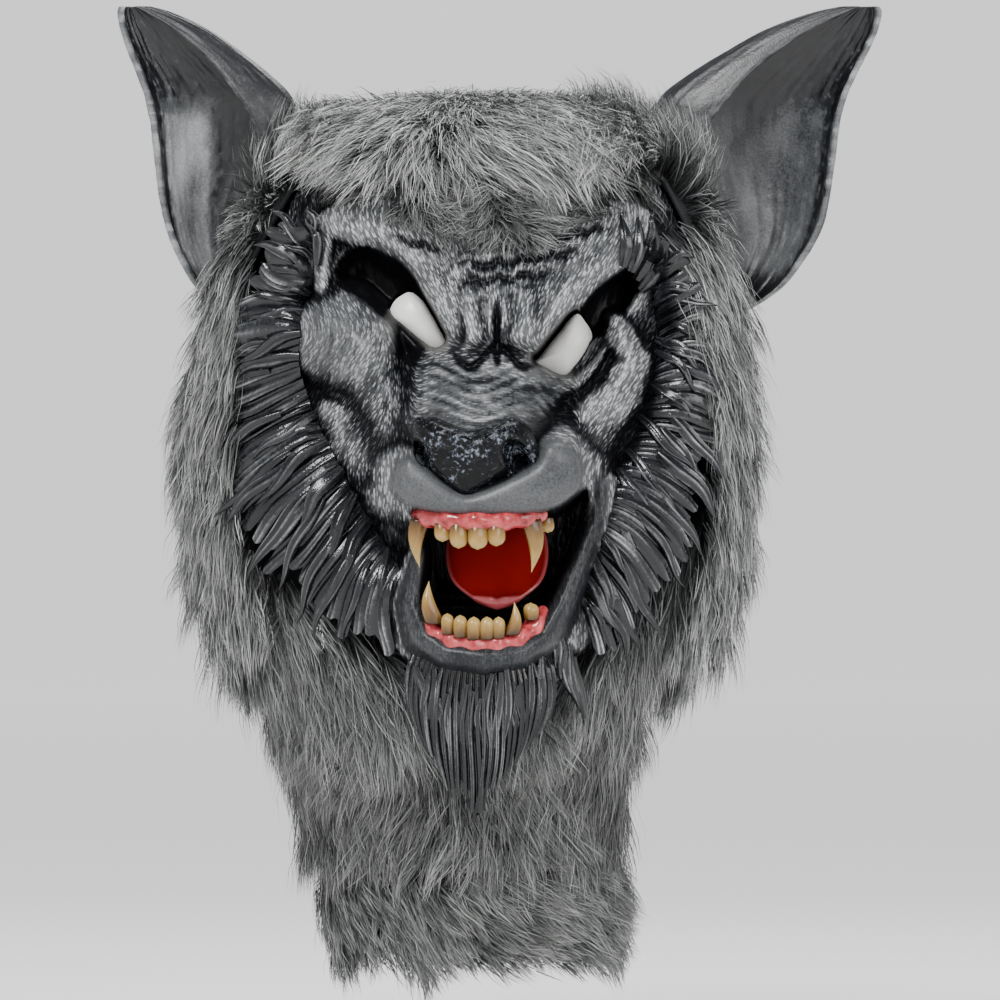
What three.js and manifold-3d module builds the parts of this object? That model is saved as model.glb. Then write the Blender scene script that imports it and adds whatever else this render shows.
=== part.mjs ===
// Werewolf mask: a hollow latex head with a snarling face, latex ears, sculpted latex hair,
// white eyes, teeth set in gums, a tongue, and long-pile fur fabric over the head and under the chin.
// Millimetres, +Z up, the face looks along -Y. The origin is where the wearer's crown touches the inside.
import * as THREE from "three";
import { mergeVertices } from "three/addons/utils/BufferGeometryUtils.js";
import Module from "manifold-3d";

const wasm = await Module();
wasm.setup();

// Head shell
const HEAD_WIDTH = 196;
const FRONT_DEPTH = 92;
const BACK_DEPTH = 116;
const SHELL_HEIGHT = 322;
const DOME_HEIGHT = 96;
const SHELL_WALL = 2.6;
const ROUNDNESS = 2.2;
const DOME_POWER = 3.6;

// Face
const FACE_DROP = 250;
const MUZZLE_REACH = 70;
const EDGE_ROLL = 10;
const MOUTH_WALL = 3.2;
const EYE_LONG = 29;
const EYE_SHORT = 17;
const EYE_RIM = 3;
const EYE_DOME = 6;
const GUM_THICK = 9;
const LOWER_GUM_THICK = 12;
const NOSTRIL = 9;
const TONGUE_THICK = 7;

// Ears
const EAR_RISE = 145;
const EAR_REACH_LEFT = 67;
const EAR_REACH_RIGHT = 85;
const EAR_CUP = 28;
const EAR_WALL = 3;
const EAR_DROP = 91;
const EAR_STAND = 3;
const EAR_FRONT = 12;

// Sculpted and real fur
const RUFF_SPREAD = 135;
const RUFF_FRONT = 99;
const RUFF_THICK = 8;
const BEARD_WIDTH = 60;
const BEARD_LENGTH = 63;
const FABRIC = 2.4;
const FUR_THICK = 11;
const HOOD_HEIGHT = 258;
const BIB_TOP = 258;
const BIB_LENGTH = 86;
const HEM_START = 0.935;
const HEM_LENGTH = 54;

// Clearances
const SEAT_GAP = 0.3;
const LOOSE_GAP = 0.8;
const FABRIC_GAP = 2.2;

const HALF = HEAD_WIDTH / 2;
const TURN = Math.PI / 180;

const table = (columns, ...rows) =>
  rows.map((row) => Object.fromEntries(columns.split(" ").map((name, i) => [name, row[i]])));

// Sections of the shell below the crown: drop is a share of the shell height, the rest of its own size
const SHELL = table(
  "drop half front back",
  [0.0, 1.0, 1.0, 1.0],
  [0.3, 1.0, 1.0, 1.0],
  [0.52, 0.93, 0.97, 0.93],
  [0.7, 0.78, 0.92, 0.8],
  [0.84, 0.66, 0.8, 0.7],
  [1.0, 0.62, 0.7, 0.66],
);

// The fur fabric flares from the ears and hangs clear of the neck; shift is to the side
const DRAPE = table(
  "drop half front back shift",
  [0.0, 1.0, 1.0, 1.0, 0.0],
  [0.15, 1.03, 1.0, 1.0, 0.0],
  [0.3, 1.16, 1.01, 1.01, -0.05],
  [0.45, 1.21, 1.01, 1.0, -0.08],
  [0.6, 1.16, 1.0, 0.97, -0.09],
  [0.74, 1.0, 0.96, 0.92, -0.1],
  [0.84, 0.86, 0.92, 0.86, -0.1],
);

// Sections of the bib and of the hem under it, as shares of the same sizes
const BIB = table(
  "drop half front back shift",
  [0.7, 0.94, 0.95, 0.9, -0.1],
  [0.84, 0.82, 0.84, 0.8, -0.09],
  [1.0, 0.7, 0.74, 0.7, -0.06],
  [1.28, 0.6, 0.66, 0.6, 0.0],
);

// Outlines on the face: across is a share of half the head's width, down a share of the face's drop
const BROW = table(
  "across down",
  [-0.728, 0.177], [-0.376, 0.147], [0.047, 0.14], [0.469, 0.155], [0.775, 0.173],
  [0.808, 0.254], [0.667, 0.291], [0.545, 0.326], [0.423, 0.383], [0.329, 0.434],
  [0.221, 0.456], [0.08, 0.449], [-0.056, 0.454], [-0.136, 0.427], [-0.197, 0.379],
  [-0.263, 0.328], [-0.357, 0.28], [-0.479, 0.25], [-0.629, 0.239], [-0.742, 0.221],
);
const UPPER_LIP = table(
  "across down",
  [-0.385, 0.651], [-0.329, 0.631], [-0.263, 0.651], [-0.169, 0.679], [-0.066, 0.699],
  [0.038, 0.688], [0.164, 0.666], [0.263, 0.644], [0.31, 0.611], [0.385, 0.607],
  [0.451, 0.629], [0.469, 0.666], [0.437, 0.701], [0.338, 0.723], [0.188, 0.732],
  [0.0, 0.736], [-0.188, 0.73], [-0.324, 0.716], [-0.39, 0.69],
);
const MOUTH = table(
  "across down",
  [-0.319, 0.725], [-0.141, 0.736], [0.094, 0.738], [0.338, 0.725], [0.498, 0.684],
  [0.507, 0.736], [0.437, 0.81], [0.343, 0.883], [0.263, 0.933], [0.141, 0.96],
  [0.0, 0.968], [-0.16, 0.955], [-0.244, 0.927], [-0.277, 0.883], [-0.263, 0.81],
  [-0.296, 0.764],
);
const NOSE = table(
  "across down",
  [-0.315, 0.559], [-0.263, 0.548], [-0.188, 0.552], [-0.103, 0.565], [-0.019, 0.57],
  [0.07, 0.563], [0.141, 0.55], [0.207, 0.559], [0.258, 0.589], [0.268, 0.629],
  [0.225, 0.653], [0.131, 0.666], [0.038, 0.684], [-0.056, 0.697], [-0.131, 0.69],
  [-0.207, 0.664], [-0.291, 0.638], [-0.31, 0.603],
);

// Raised forms: radius is a share of half the head's width, lift a share of the muzzle's reach
const form = (blend, ...rows) => ({ blend, rows: table("across down radius lift", ...rows) });
const BROW_LOBES = [
  form(6, [-0.047, 0.364, 0.122, 0.43], [-0.047, 0.408, 0.127, 0.46]),
  form(6, [0.202, 0.364, 0.122, 0.43], [0.202, 0.408, 0.127, 0.46]),
  form(6, [-0.695, 0.206, 0.075, 0.16], [-0.742, 0.261, 0.07, 0.19], [-0.742, 0.324, 0.066, 0.17]),
];
const SOCKETS = [
  form(4, [-0.507, 0.298, 0.113, -0.19], [-0.385, 0.331, 0.141, -0.19], [-0.244, 0.39, 0.113, -0.19]),
  form(4, [0.648, 0.337, 0.094, -0.19], [0.526, 0.383, 0.122, -0.19], [0.385, 0.438, 0.113, -0.19]),
];
const CHEEKS_AND_MUZZLE = [
  form(4, [-0.681, 0.414, 0.244, 0.44], [-0.601, 0.438, 0.235, 0.44]),
  form(8, [-0.516, 0.475, 0.169, 0.34], [-0.413, 0.552, 0.188, 0.37], [-0.319, 0.644, 0.188, 0.49]),
  form(5, [-0.676, 0.548, 0.094, 0.19], [-0.601, 0.603, 0.122, 0.24], [-0.469, 0.677, 0.122, 0.29],
    [-0.366, 0.754, 0.103, 0.31]),
  form(7, [0.577, 0.383, 0.056, 0.14], [0.667, 0.408, 0.085, 0.29], [0.714, 0.456, 0.103, 0.36],
    [0.657, 0.515, 0.127, 0.36], [0.516, 0.57, 0.16, 0.43], [0.446, 0.644, 0.16, 0.51]),
  form(10, [0.066, 0.467, 0.235, 0.46], [0.028, 0.515, 0.338, 0.67], [-0.009, 0.581, 0.404, 0.83],
    [0.019, 0.67, 0.469, 0.83]),
  form(6, [0.573, 0.699, 0.085, 0.37], [0.526, 0.828, 0.103, 0.37], [0.413, 0.957, 0.122, 0.4]),
  form(8, [-0.14, 0.98, 0.2, 0.6], [0.19, 0.98, 0.2, 0.6]),
];
const LOWER_LIP = form(3,
  [-0.23, 0.75, 0.08, 0.51], [-0.28, 0.82, 0.09, 0.56], [-0.32, 0.9, 0.11, 0.65],
  [-0.27, 0.96, 0.13, 0.72], [-0.16, 0.99, 0.14, 0.77], [0.02, 1.0, 0.15, 0.8],
  [0.19, 0.99, 0.14, 0.77], [0.31, 0.96, 0.13, 0.7], [0.39, 0.9, 0.11, 0.64],
  [0.47, 0.82, 0.1, 0.56], [0.54, 0.75, 0.09, 0.5], [0.57, 0.68, 0.09, 0.46]);
const BROW_LIFT = { edge: 0.16, top: 0.06, lobe: 0.27, across: 0.08, spread: 0.33, from: 0.22, to: 0.41 };
const UPPER_LIP_LIFT = 0.97;
const MOUTH_FLOOR = 0.04;
const FORM_POWER = 2.3;
const FORM_FALL = { least: 18, share: 0.45 };
const SOCKET_SLOPE = 0.9;

const EYES = table("name across down tilt", ["eye_left", -0.282, 0.374, -50], ["eye_right", 0.39, 0.42, 58]);

// Helpers that work on plain numbers
const mix = (a, b, t) => a + (b - a) * t;
const clamp = (value, low, high) => Math.min(high, Math.max(low, value));
const ease = (value, low, high) => {
  const t = clamp((value - low) / (high - low), 0, 1);
  return t * t * (3 - 2 * t);
};
const signedPower = (value, power) => Math.sign(value) * Math.abs(value) ** power;
const blendUp = (a, b, soft) => {
  const near = Math.max(soft - Math.abs(a - b), 0) / soft;
  return Math.max(a, b) + (near * near * soft) / 4;
};
const blendDown = (a, b, soft) => -blendUp(-a, -b, soft);

// Looks a section up in a table, smoothly between its rows
function sectionAt(rows, drop) {
  const share = clamp(drop / SHELL_HEIGHT, rows[0].drop, rows[rows.length - 1].drop);
  const next = Math.max(1, rows.findIndex((row) => row.drop >= share));
  const [a, b] = [rows[next - 1], rows[next]];
  const t = ease(share, a.drop, b.drop) * 0.5 + ((share - a.drop) / (b.drop - a.drop)) * 0.5;
  const value = (name) => mix(a[name] ?? 0, b[name] ?? 0, t);
  return { half: value("half"), front: value("front"), back: value("back"), shift: value("shift") };
}

// Share of the full section reached at a drop below the crown of the dome
const domeShare = (drop) =>
  drop >= DOME_HEIGHT ? 1 : (1 - (1 - drop / DOME_HEIGHT) ** DOME_POWER) ** (1 / ROUNDNESS);

// A point of the plain head form at an angle round it (0 is the front) and a drop below the crown
function headPoint(angle, drop, outset, rows = SHELL) {
  const section = sectionAt(rows, drop);
  const dome = domeShare(drop);
  const grow = outset * Math.min(1, dome * 1.5);
  const depth = Math.abs(angle) <= 90 ? section.front * FRONT_DEPTH : section.back * BACK_DEPTH;
  const x = (section.half * HALF * dome + grow) * signedPower(Math.sin(angle * TURN), 2 / ROUNDNESS);
  const y = -(depth * dome + grow) * signedPower(Math.cos(angle * TURN), 2 / ROUNDNESS);
  const rise = outset * (1 - dome);
  return new THREE.Vector3(x + section.shift * HALF, y, SHELL_WALL - drop + rise);
}

// The plain head's front at a place given across and down the face
function frontY(x, drop) {
  const section = sectionAt(SHELL, drop);
  const dome = domeShare(drop);
  const share = Math.min(1, Math.abs(x) / (section.half * HALF * dome));
  return -section.front * FRONT_DEPTH * dome * (1 - share ** ROUNDNESS) ** (1 / ROUNDNESS);
}

const facePoint = (across, down, lift) =>
  new THREE.Vector3(
    across * HALF,
    frontY(across * HALF, down * FACE_DROP) - lift * MUZZLE_REACH,
    -down * FACE_DROP,
  );

// Height of a row of joined round forms at a place on the face
function formHeight({ rows }, x, drop) {
  let height = -Infinity;
  for (let i = 1; i < rows.length; i += 1) {
    const [a, b] = [rows[i - 1], rows[i]];
    const [ax, az] = [a.across * HALF, a.down * FACE_DROP];
    const [dx, dz] = [b.across * HALF - ax, b.down * FACE_DROP - az];
    const t = clamp(((x - ax) * dx + (drop - az) * dz) / (dx * dx + dz * dz), 0, 1);
    const away = Math.hypot(x - ax - t * dx, drop - az - t * dz);
    const radius = mix(a.radius, b.radius, t) * HALF;
    const lift = mix(a.lift, b.lift, t) * MUZZLE_REACH;
    const fall = FORM_FALL.least + FORM_FALL.share * Math.abs(lift);
    height = Math.max(height, lift - fall * (away / radius) ** FORM_POWER);
  }
  return height;
}

const smoothOutline = (rows, steps) =>
  new THREE.CatmullRomCurve3(
    rows.map(({ across, down }) => new THREE.Vector3(across * HALF, 0, down * FACE_DROP)),
    true,
  ).getPoints(steps);
const browEdge = smoothOutline(BROW, 60);
const lipEdge = smoothOutline(UPPER_LIP, 57);
const mouthEdge = smoothOutline(MOUTH, 48);

// Distance to a closed outline, negative inside it
function outlineDistance(edge, x, drop) {
  let nearest = Infinity;
  let inside = false;
  for (let i = 1; i < edge.length; i += 1) {
    const [a, b] = [edge[i - 1], edge[i]];
    const [dx, dz] = [b.x - a.x, b.z - a.z];
    const t = clamp(((x - a.x) * dx + (drop - a.z) * dz) / (dx * dx + dz * dz || 1), 0, 1);
    nearest = Math.min(nearest, Math.hypot(x - a.x - t * dx, drop - a.z - t * dz));
    if (a.z > drop !== b.z > drop && x < (dx * (drop - a.z)) / dz + a.x) inside = !inside;
  }
  return inside ? -nearest : nearest;
}

// Height of a flat form whose edge rolls over
function slabHeight(edge, x, drop, lift) {
  const t = clamp(1 + outlineDistance(edge, x, drop) / EDGE_ROLL, 0, 4);
  const roll = t < 1 ? 1 - Math.sqrt(1 - t * t) : 1;
  return lift - (EDGE_ROLL / 2) * roll - (MUZZLE_REACH / 2) * Math.max(0, t - 1);
}

function browHeight(x, drop) {
  const { edge, top, lobe, across, spread, from, to } = BROW_LIFT;
  const [u, v] = [x / HALF, drop / FACE_DROP];
  const middle = Math.exp(-(((u - across) / spread) ** 2)) * ease(v, from, to);
  const lift = edge + lobe * middle + top * ease(v, BROW[2].down, from);
  return slabHeight(browEdge, x, drop, lift * MUZZLE_REACH);
}

// How far the skin stands in front of the plain head
function faceRelief(x, drop) {
  let height = 0;
  for (const lobe of BROW_LOBES) height = blendUp(height, formHeight(lobe, x, drop), lobe.blend);
  for (const socket of SOCKETS) {
    const floor = socket.rows[0].lift * MUZZLE_REACH;
    const rise = (floor - formHeight(socket, x, drop)) * SOCKET_SLOPE;
    height = blendDown(height, floor + Math.max(0, rise), socket.blend);
  }
  height = blendUp(height, browHeight(x, drop), 3);
  for (const shape of CHEEKS_AND_MUZZLE) {
    height = blendUp(height, formHeight(shape, x, drop), shape.blend);
  }
  height = blendUp(height, slabHeight(lipEdge, x, drop, UPPER_LIP_LIFT * MUZZLE_REACH), 3);
  height = blendUp(height, formHeight(LOWER_LIP, x, drop), LOWER_LIP.blend);
  const wall = clamp(1 + outlineDistance(mouthEdge, x, drop) / MOUTH_WALL, 0, 3);
  return blendDown(height, (MOUTH_FLOOR + wall) * MUZZLE_REACH, 4);
}

// Solids
function closedGeometry(points, faces) {
  let volume = 0;
  for (const [a, b, c] of faces) volume += points[a].dot(points[b].clone().cross(points[c]));
  const index = volume > 0 ? faces.flat() : faces.flatMap(([a, b, c]) => [a, c, b]);
  const geometry = new THREE.BufferGeometry();
  const flat = points.flatMap((point) => [point.x, point.y, point.z]);
  geometry.setAttribute("position", new THREE.Float32BufferAttribute(flat, 3));
  geometry.setIndex(index);
  return geometry;
}

// Joins rings of equal length; an end is closed by a point, or for a bent wall by a strip
function loft(rings, startPoint, endPoint) {
  const count = rings[0].length;
  const points = rings.flat();
  const faces = [];
  for (let r = 1; r < rings.length; r += 1) {
    for (let i = 0; i < count; i += 1) {
      const [a, b] = [(r - 1) * count + i, (r - 1) * count + ((i + 1) % count)];
      faces.push([a, b, b + count], [a, b + count, a + count]);
    }
  }
  const closeEnd = (first, point, flip) => {
    const put = (a, b, c) => faces.push(flip ? [a, b, c] : [a, c, b]);
    if (point) {
      points.push(point);
      for (let i = 0; i < count; i += 1) {
        put(points.length - 1, first + i, first + ((i + 1) % count));
      }
      return;
    }
    for (let i = 0; i + 1 < count / 2; i += 1) {
      const [a, b, c, d] = [first + i, first + i + 1, first + count - 2 - i, first + count - 1 - i];
      put(a, b, c);
      put(a, c, d);
    }
  };
  closeEnd(0, startPoint, false);
  closeEnd((rings.length - 1) * count, endPoint, true);
  return closedGeometry(points, faces);
}

function toSolid(geometry) {
  const bare = geometry.clone();
  bare.deleteAttribute("normal");
  bare.deleteAttribute("uv");
  const merged = mergeVertices(bare, 1e-4);
  return new wasm.Manifold(
    new wasm.Mesh({
      numProp: 3,
      vertProperties: Float32Array.from(merged.attributes.position.array),
      triVerts: Uint32Array.from(merged.index.array),
    }),
  );
}

function toGeometry(solid) {
  const mesh = solid.getMesh();
  const geometry = new THREE.BufferGeometry();
  geometry.setAttribute("position", new THREE.BufferAttribute(mesh.vertProperties, 3));
  geometry.setIndex(new THREE.BufferAttribute(mesh.triVerts, 1));
  return geometry;
}

// Moves every face outward a little, so that what is cut by the result keeps a gap
function swell(geometry, gap) {
  const grown = mergeVertices(geometry.clone().deleteAttribute("normal"), 1e-4);
  grown.computeVertexNormals();
  const { position, normal } = grown.attributes;
  for (let i = 0; i < position.count; i += 1) {
    position.setXYZ(
      i,
      position.getX(i) + normal.getX(i) * gap,
      position.getY(i) + normal.getY(i) * gap,
      position.getZ(i) + normal.getZ(i) * gap,
    );
  }
  return toSolid(grown);
}

// The largest body of a cut solid; what a cut leaves loose is an offcut
function mainBody(solid) {
  const bodies = solid.decompose().sort((a, b) => b.volume() - a.volume());
  return bodies[0];
}

const cut = (solid, ...tools) => mainBody(tools.reduce((left, tool) => left.subtract(tool), solid));
const fuse = (solids) => mainBody(wasm.Manifold.union(solids));

// A ring of points round a centre, in the plane of two directions
const ringAt = (centre, side, up, sides) =>
  Array.from({ length: sides }, (_, i) => {
    const turn = (i / sides) * Math.PI * 2;
    return centre.clone().addScaledVector(side, Math.cos(turn)).addScaledVector(up, Math.sin(turn));
  });

// Head shell
const FRONT_COLUMNS = 32;
const BACK_COLUMNS = 10;
const FRONT_SHARE = 0.91;
const FACE_ROWS = 29;
const FACE_TOP = 42;
const FACE_BOTTOM = 272;
const angleAt = (share) => (Math.sign(share) * Math.asin(Math.abs(share) ** (ROUNDNESS / 2))) / TURN;
const columnAngles = [
  ...Array.from({ length: FRONT_COLUMNS }, (_, i) =>
    angleAt(mix(-FRONT_SHARE, FRONT_SHARE, i / FRONT_COLUMNS))),
  ...Array.from({ length: BACK_COLUMNS }, (_, i) =>
    mix(angleAt(FRONT_SHARE), 360 - angleAt(FRONT_SHARE), i / BACK_COLUMNS)),
].map((angle) => (angle > 180 ? angle - 360 : angle));
const rowDrops = [
  ...[0.02, 0.09, 0.22, 0.4, 0.66].map((share) => share * FACE_TOP),
  ...Array.from({ length: FACE_ROWS + 1 }, (_, i) => mix(FACE_TOP, FACE_BOTTOM, i / FACE_ROWS)),
  mix(FACE_BOTTOM, SHELL_HEIGHT, 0.5),
  SHELL_HEIGHT,
];

// Relief at every row and column, eased into its neighbours so that steep edges stay clean
const sharpLifts = rowDrops.map((drop) =>
  columnAngles.map((angle) => {
    const plain = headPoint(angle, drop, 0);
    return Math.abs(angle) < 90 ? faceRelief(plain.x, -plain.z) : 0;
  }));
const lifts = sharpLifts.map((row, r) =>
  row.map((_, c) => {
    const nearby = (line) => {
      const [left, right] = [(c + line.length - 1) % line.length, (c + 1) % line.length];
      return (line[left] + 2 * line[c] + line[right]) / 4;
    };
    const above = sharpLifts[Math.max(0, r - 1)];
    const below = sharpLifts[Math.min(rowDrops.length - 1, r + 1)];
    return (nearby(above) + 2 * nearby(row) + nearby(below)) / 4;
  }));

function shellGeometry() {
  const rings = rowDrops.map((drop, r) =>
    columnAngles.map((angle, c) => {
      const point = headPoint(angle, drop, 0);
      point.y -= lifts[r][c];
      return point;
    }));
  const hem = new THREE.Vector3(0, 0, SHELL_WALL - SHELL_HEIGHT);
  return loft(rings, new THREE.Vector3(0, 0, SHELL_WALL), hem);
}

// The hollow follows the face at every other row and column, behind the lowest skin near it
function hollowGeometry() {
  const lowest = (r, c) => {
    let lift = Infinity;
    for (let i = Math.max(0, r - 2); i <= Math.min(rowDrops.length - 1, r + 2); i += 1) {
      for (let j = -2; j <= 2; j += 1) {
        lift = Math.min(lift, lifts[i][(c + j + columnAngles.length) % columnAngles.length]);
      }
    }
    return lift;
  };
  const rings = [];
  for (let r = 0; r < rowDrops.length; r += 2) {
    const ring = [];
    for (let c = 0; c < columnAngles.length; c += c < FRONT_COLUMNS ? 2 : 1) {
      const point = headPoint(columnAngles[c], rowDrops[r], -SHELL_WALL);
      point.y -= lowest(r, c);
      ring.push(point);
    }
    rings.push(ring);
  }
  const below = rings[rings.length - 1].map((point) => point.clone().setZ(point.z - 2 * SHELL_WALL));
  rings.push(below);
  const floor = new THREE.Vector3(0, 0, below[0].z);
  return loft(rings, new THREE.Vector3(0, 0, 0), floor);
}

// The outline of an eye, facing forward, at a depth
const EYE_SIDES = 12;
function eyeRing({ across, down, tilt }, y, shrink, squash = 1) {
  const centre = facePoint(across, down, 0).setY(y);
  const long = new THREE.Vector3(Math.cos(tilt * TURN), 0, Math.sin(tilt * TURN));
  const short = new THREE.Vector3(-long.z, 0, long.x);
  return ringAt(
    centre,
    long.multiplyScalar((EYE_LONG / 2 - shrink) * squash),
    short.multiplyScalar((EYE_SHORT / 2 - shrink) * squash),
    EYE_SIDES,
  );
}
const socketFloor = ({ across, down }) => facePoint(across, down, SOCKETS[0].rows[0].lift).y;

function eyeHole(eye) {
  const [front, back] = [socketFloor(eye) - MUZZLE_REACH / 2, socketFloor(eye) + MUZZLE_REACH / 2];
  const middle = facePoint(eye.across, eye.down, 0);
  const rings = [eyeRing(eye, front, 0), eyeRing(eye, back, 0)];
  return toSolid(loft(rings, middle.clone().setY(front), middle.clone().setY(back)));
}

function eyeGeometry(eye) {
  const rim = socketFloor(eye);
  const rings = [
    eyeRing(eye, rim + EYE_RIM, SEAT_GAP),
    eyeRing(eye, rim, SEAT_GAP),
    eyeRing(eye, rim - EYE_DOME * 0.6, SEAT_GAP, 0.8),
    eyeRing(eye, rim - EYE_DOME * 0.9, SEAT_GAP, 0.45),
  ];
  const middle = facePoint(eye.across, eye.down, 0);
  return loft(rings, middle.clone().setY(rim + EYE_RIM), middle.clone().setY(rim - EYE_DOME));
}

// Nose pad: its outline stepped forward from the muzzle, with two nostrils
const NOSE_STEPS = table("scale lift", [1.0, 0.4], [1.0, 0.86], [0.9, 0.97], [0.6, 1.02]);
const NOSTRILS = table("across down lift", [-0.26, 0.611, 0.94], [0.165, 0.622, 0.96]);

function nosePad(skin) {
  const edge = smoothOutline(NOSE, 19).slice(0, -1);
  const middle = edge.reduce((sum, point) => sum.add(point), new THREE.Vector3()).divideScalar(edge.length);
  const depth = (lift) => frontY(middle.x, middle.z) - lift * MUZZLE_REACH;
  const rings = NOSE_STEPS.map(({ scale, lift }) =>
    edge.map(({ x, z }) =>
      new THREE.Vector3(mix(middle.x, x, scale), depth(lift), -mix(middle.z, z, scale))));
  const [first, last] = [NOSE_STEPS[0], NOSE_STEPS[NOSE_STEPS.length - 1]];
  const pole = ({ lift }) => new THREE.Vector3(middle.x, depth(lift), -middle.z);
  const pad = toSolid(loft(rings, pole(first), pole(last)));
  const holes = NOSTRILS.map(({ across, down, lift }) => {
    const hole = new THREE.SphereGeometry(NOSTRIL / 2, 8, 5);
    hole.scale(1, 1.6, 1.1);
    const { x, y, z } = facePoint(across, down, lift);
    return toSolid(hole.translate(x, y, z));
  });
  return cut(pad, skin, ...holes);
}

// Gums: a round bead along the inside of each lip
const UPPER_GUM = table(
  "across down lift",
  [-0.3, 0.722, 0.6], [-0.225, 0.731, 0.76], [-0.094, 0.736, 0.86], [0.047, 0.737, 0.88],
  [0.188, 0.733, 0.82], [0.305, 0.725, 0.68],
);
const LOWER_GUM = table(
  "across down lift",
  [-0.24, 0.9, 0.54], [-0.225, 0.93, 0.58], [-0.135, 0.955, 0.63], [0.01, 0.963, 0.65],
  [0.155, 0.955, 0.63], [0.245, 0.93, 0.57], [0.3, 0.9, 0.5],
);

const BEAD_SIDES = 6;
const BEAD_STEPS = 9;

function bead(rows, thick, gap) {
  const path = rows.map(({ across, down, lift }) => facePoint(across, down, lift));
  const curve = new THREE.CatmullRomCurve3(path);
  const up = new THREE.Vector3(0, 0, thick / 2 + gap);
  const rings = Array.from({ length: BEAD_STEPS + 1 }, (_, i) => {
    const t = i / BEAD_STEPS;
    const tangent = curve.getTangentAt(t);
    const side = new THREE.Vector3(tangent.y, -tangent.x, 0).setLength(thick / 2 + gap);
    return ringAt(curve.getPointAt(t), side, up, BEAD_SIDES);
  });
  return toSolid(loft(rings, curve.getPointAt(0), curve.getPointAt(1)));
}

// Teeth: a row each, from the root in the gum to the tip; blunt is the width left at the tip
const TOOTH_SIDES = 5;
const TOOTH_DEPTH = 0.8;
const TEETH = table(
  "name across down lift tipAcross tipDown tipLift wide blunt",
  ["upper_canine_left", -0.275, 0.733, 0.72, -0.277, 0.82, 0.72, 8.6, 0.2],
  ["upper_incisor_1", -0.174, 0.738, 0.82, -0.171, 0.774, 0.84, 6.8, 0.75],
  ["upper_incisor_2", -0.099, 0.741, 0.86, -0.097, 0.786, 0.88, 7.6, 0.75],
  ["upper_incisor_3", -0.011, 0.741, 0.88, -0.009, 0.788, 0.9, 8.2, 0.75],
  ["upper_incisor_4", 0.074, 0.74, 0.87, 0.076, 0.782, 0.89, 7.4, 0.75],
  ["upper_canine_right", 0.232, 0.734, 0.79, 0.239, 0.829, 0.76, 9.0, 0.2],
  ["upper_molar", 0.31, 0.731, 0.66, 0.314, 0.758, 0.66, 5.5, 0.7],
  ["lower_canine_left", -0.205, 0.924, 0.64, -0.235, 0.847, 0.64, 8.6, 0.35],
  ["lower_incisor_1", -0.148, 0.943, 0.69, -0.15, 0.905, 0.68, 5.4, 0.75],
  ["lower_incisor_2", -0.092, 0.949, 0.7, -0.09, 0.908, 0.69, 5.8, 0.75],
  ["lower_incisor_3", -0.03, 0.953, 0.7, -0.028, 0.911, 0.7, 6.0, 0.75],
  ["lower_incisor_4", 0.031, 0.953, 0.7, 0.033, 0.911, 0.7, 6.0, 0.75],
  ["lower_incisor_5", 0.086, 0.951, 0.7, 0.087, 0.911, 0.69, 5.4, 0.75],
  ["lower_canine_right", 0.143, 0.944, 0.68, 0.16, 0.885, 0.67, 7.0, 0.3],
  ["lower_molar", 0.238, 0.917, 0.62, 0.235, 0.886, 0.61, 6.4, 0.7],
);

function tooth(row, ...seats) {
  const root = facePoint(row.across, row.down, row.lift);
  const tip = facePoint(row.tipAcross, row.tipDown, row.tipLift);
  const along = tip.clone().sub(root);
  const bow = new THREE.Vector3(0, -along.length() * 0.08, 0);
  const ring = (share, scale) =>
    ringAt(
      root.clone().addScaledVector(along, share).addScaledVector(bow, Math.sin(Math.PI * share)),
      new THREE.Vector3((row.wide / 2) * scale, 0, 0),
      new THREE.Vector3(0, (row.wide / 2) * scale * TOOTH_DEPTH, 0),
      TOOTH_SIDES,
    );
  const rings = [ring(0, 0.9), ring(0.5, mix(0.62, 1, row.blunt)), ring(0.9, row.blunt)];
  return cut(toSolid(loft(rings, root, tip)), ...seats);
}

// Tongue: a spoon lying forward and down from the back of the mouth
const TONGUE = table(
  "down lift half",
  [0.748, 0.02, 0.21], [0.78, 0.14, 0.235], [0.82, 0.26, 0.235], [0.855, 0.37, 0.2], [0.883, 0.46, 0.11],
);
const TONGUE_ACROSS = 0.08;
const TONGUE_HOLLOW = 0.35;

function tongue(skin) {
  const rings = TONGUE.map(({ down, lift, half }) => {
    const centre = facePoint(TONGUE_ACROSS, down, lift);
    const up = new THREE.Vector3(0, -1, 1).setLength(TONGUE_THICK / 2);
    const ring = ringAt(centre, new THREE.Vector3(half * HALF, 0, 0), up, 10);
    return ring.map((point) => {
      const edge = Math.abs(point.x - centre.x) / (half * HALF);
      return point.addScaledVector(up, (edge * edge - 0.5) * 2 * TONGUE_HOLLOW);
    });
  });
  const end = ({ down, lift }, step) => facePoint(TONGUE_ACROSS, down + step, lift + step);
  const [first, last] = [TONGUE[0], TONGUE[TONGUE.length - 1]];
  return cut(toSolid(loft(rings, end(first, -0.01), end(last, 0.015))), skin);
}

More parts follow.
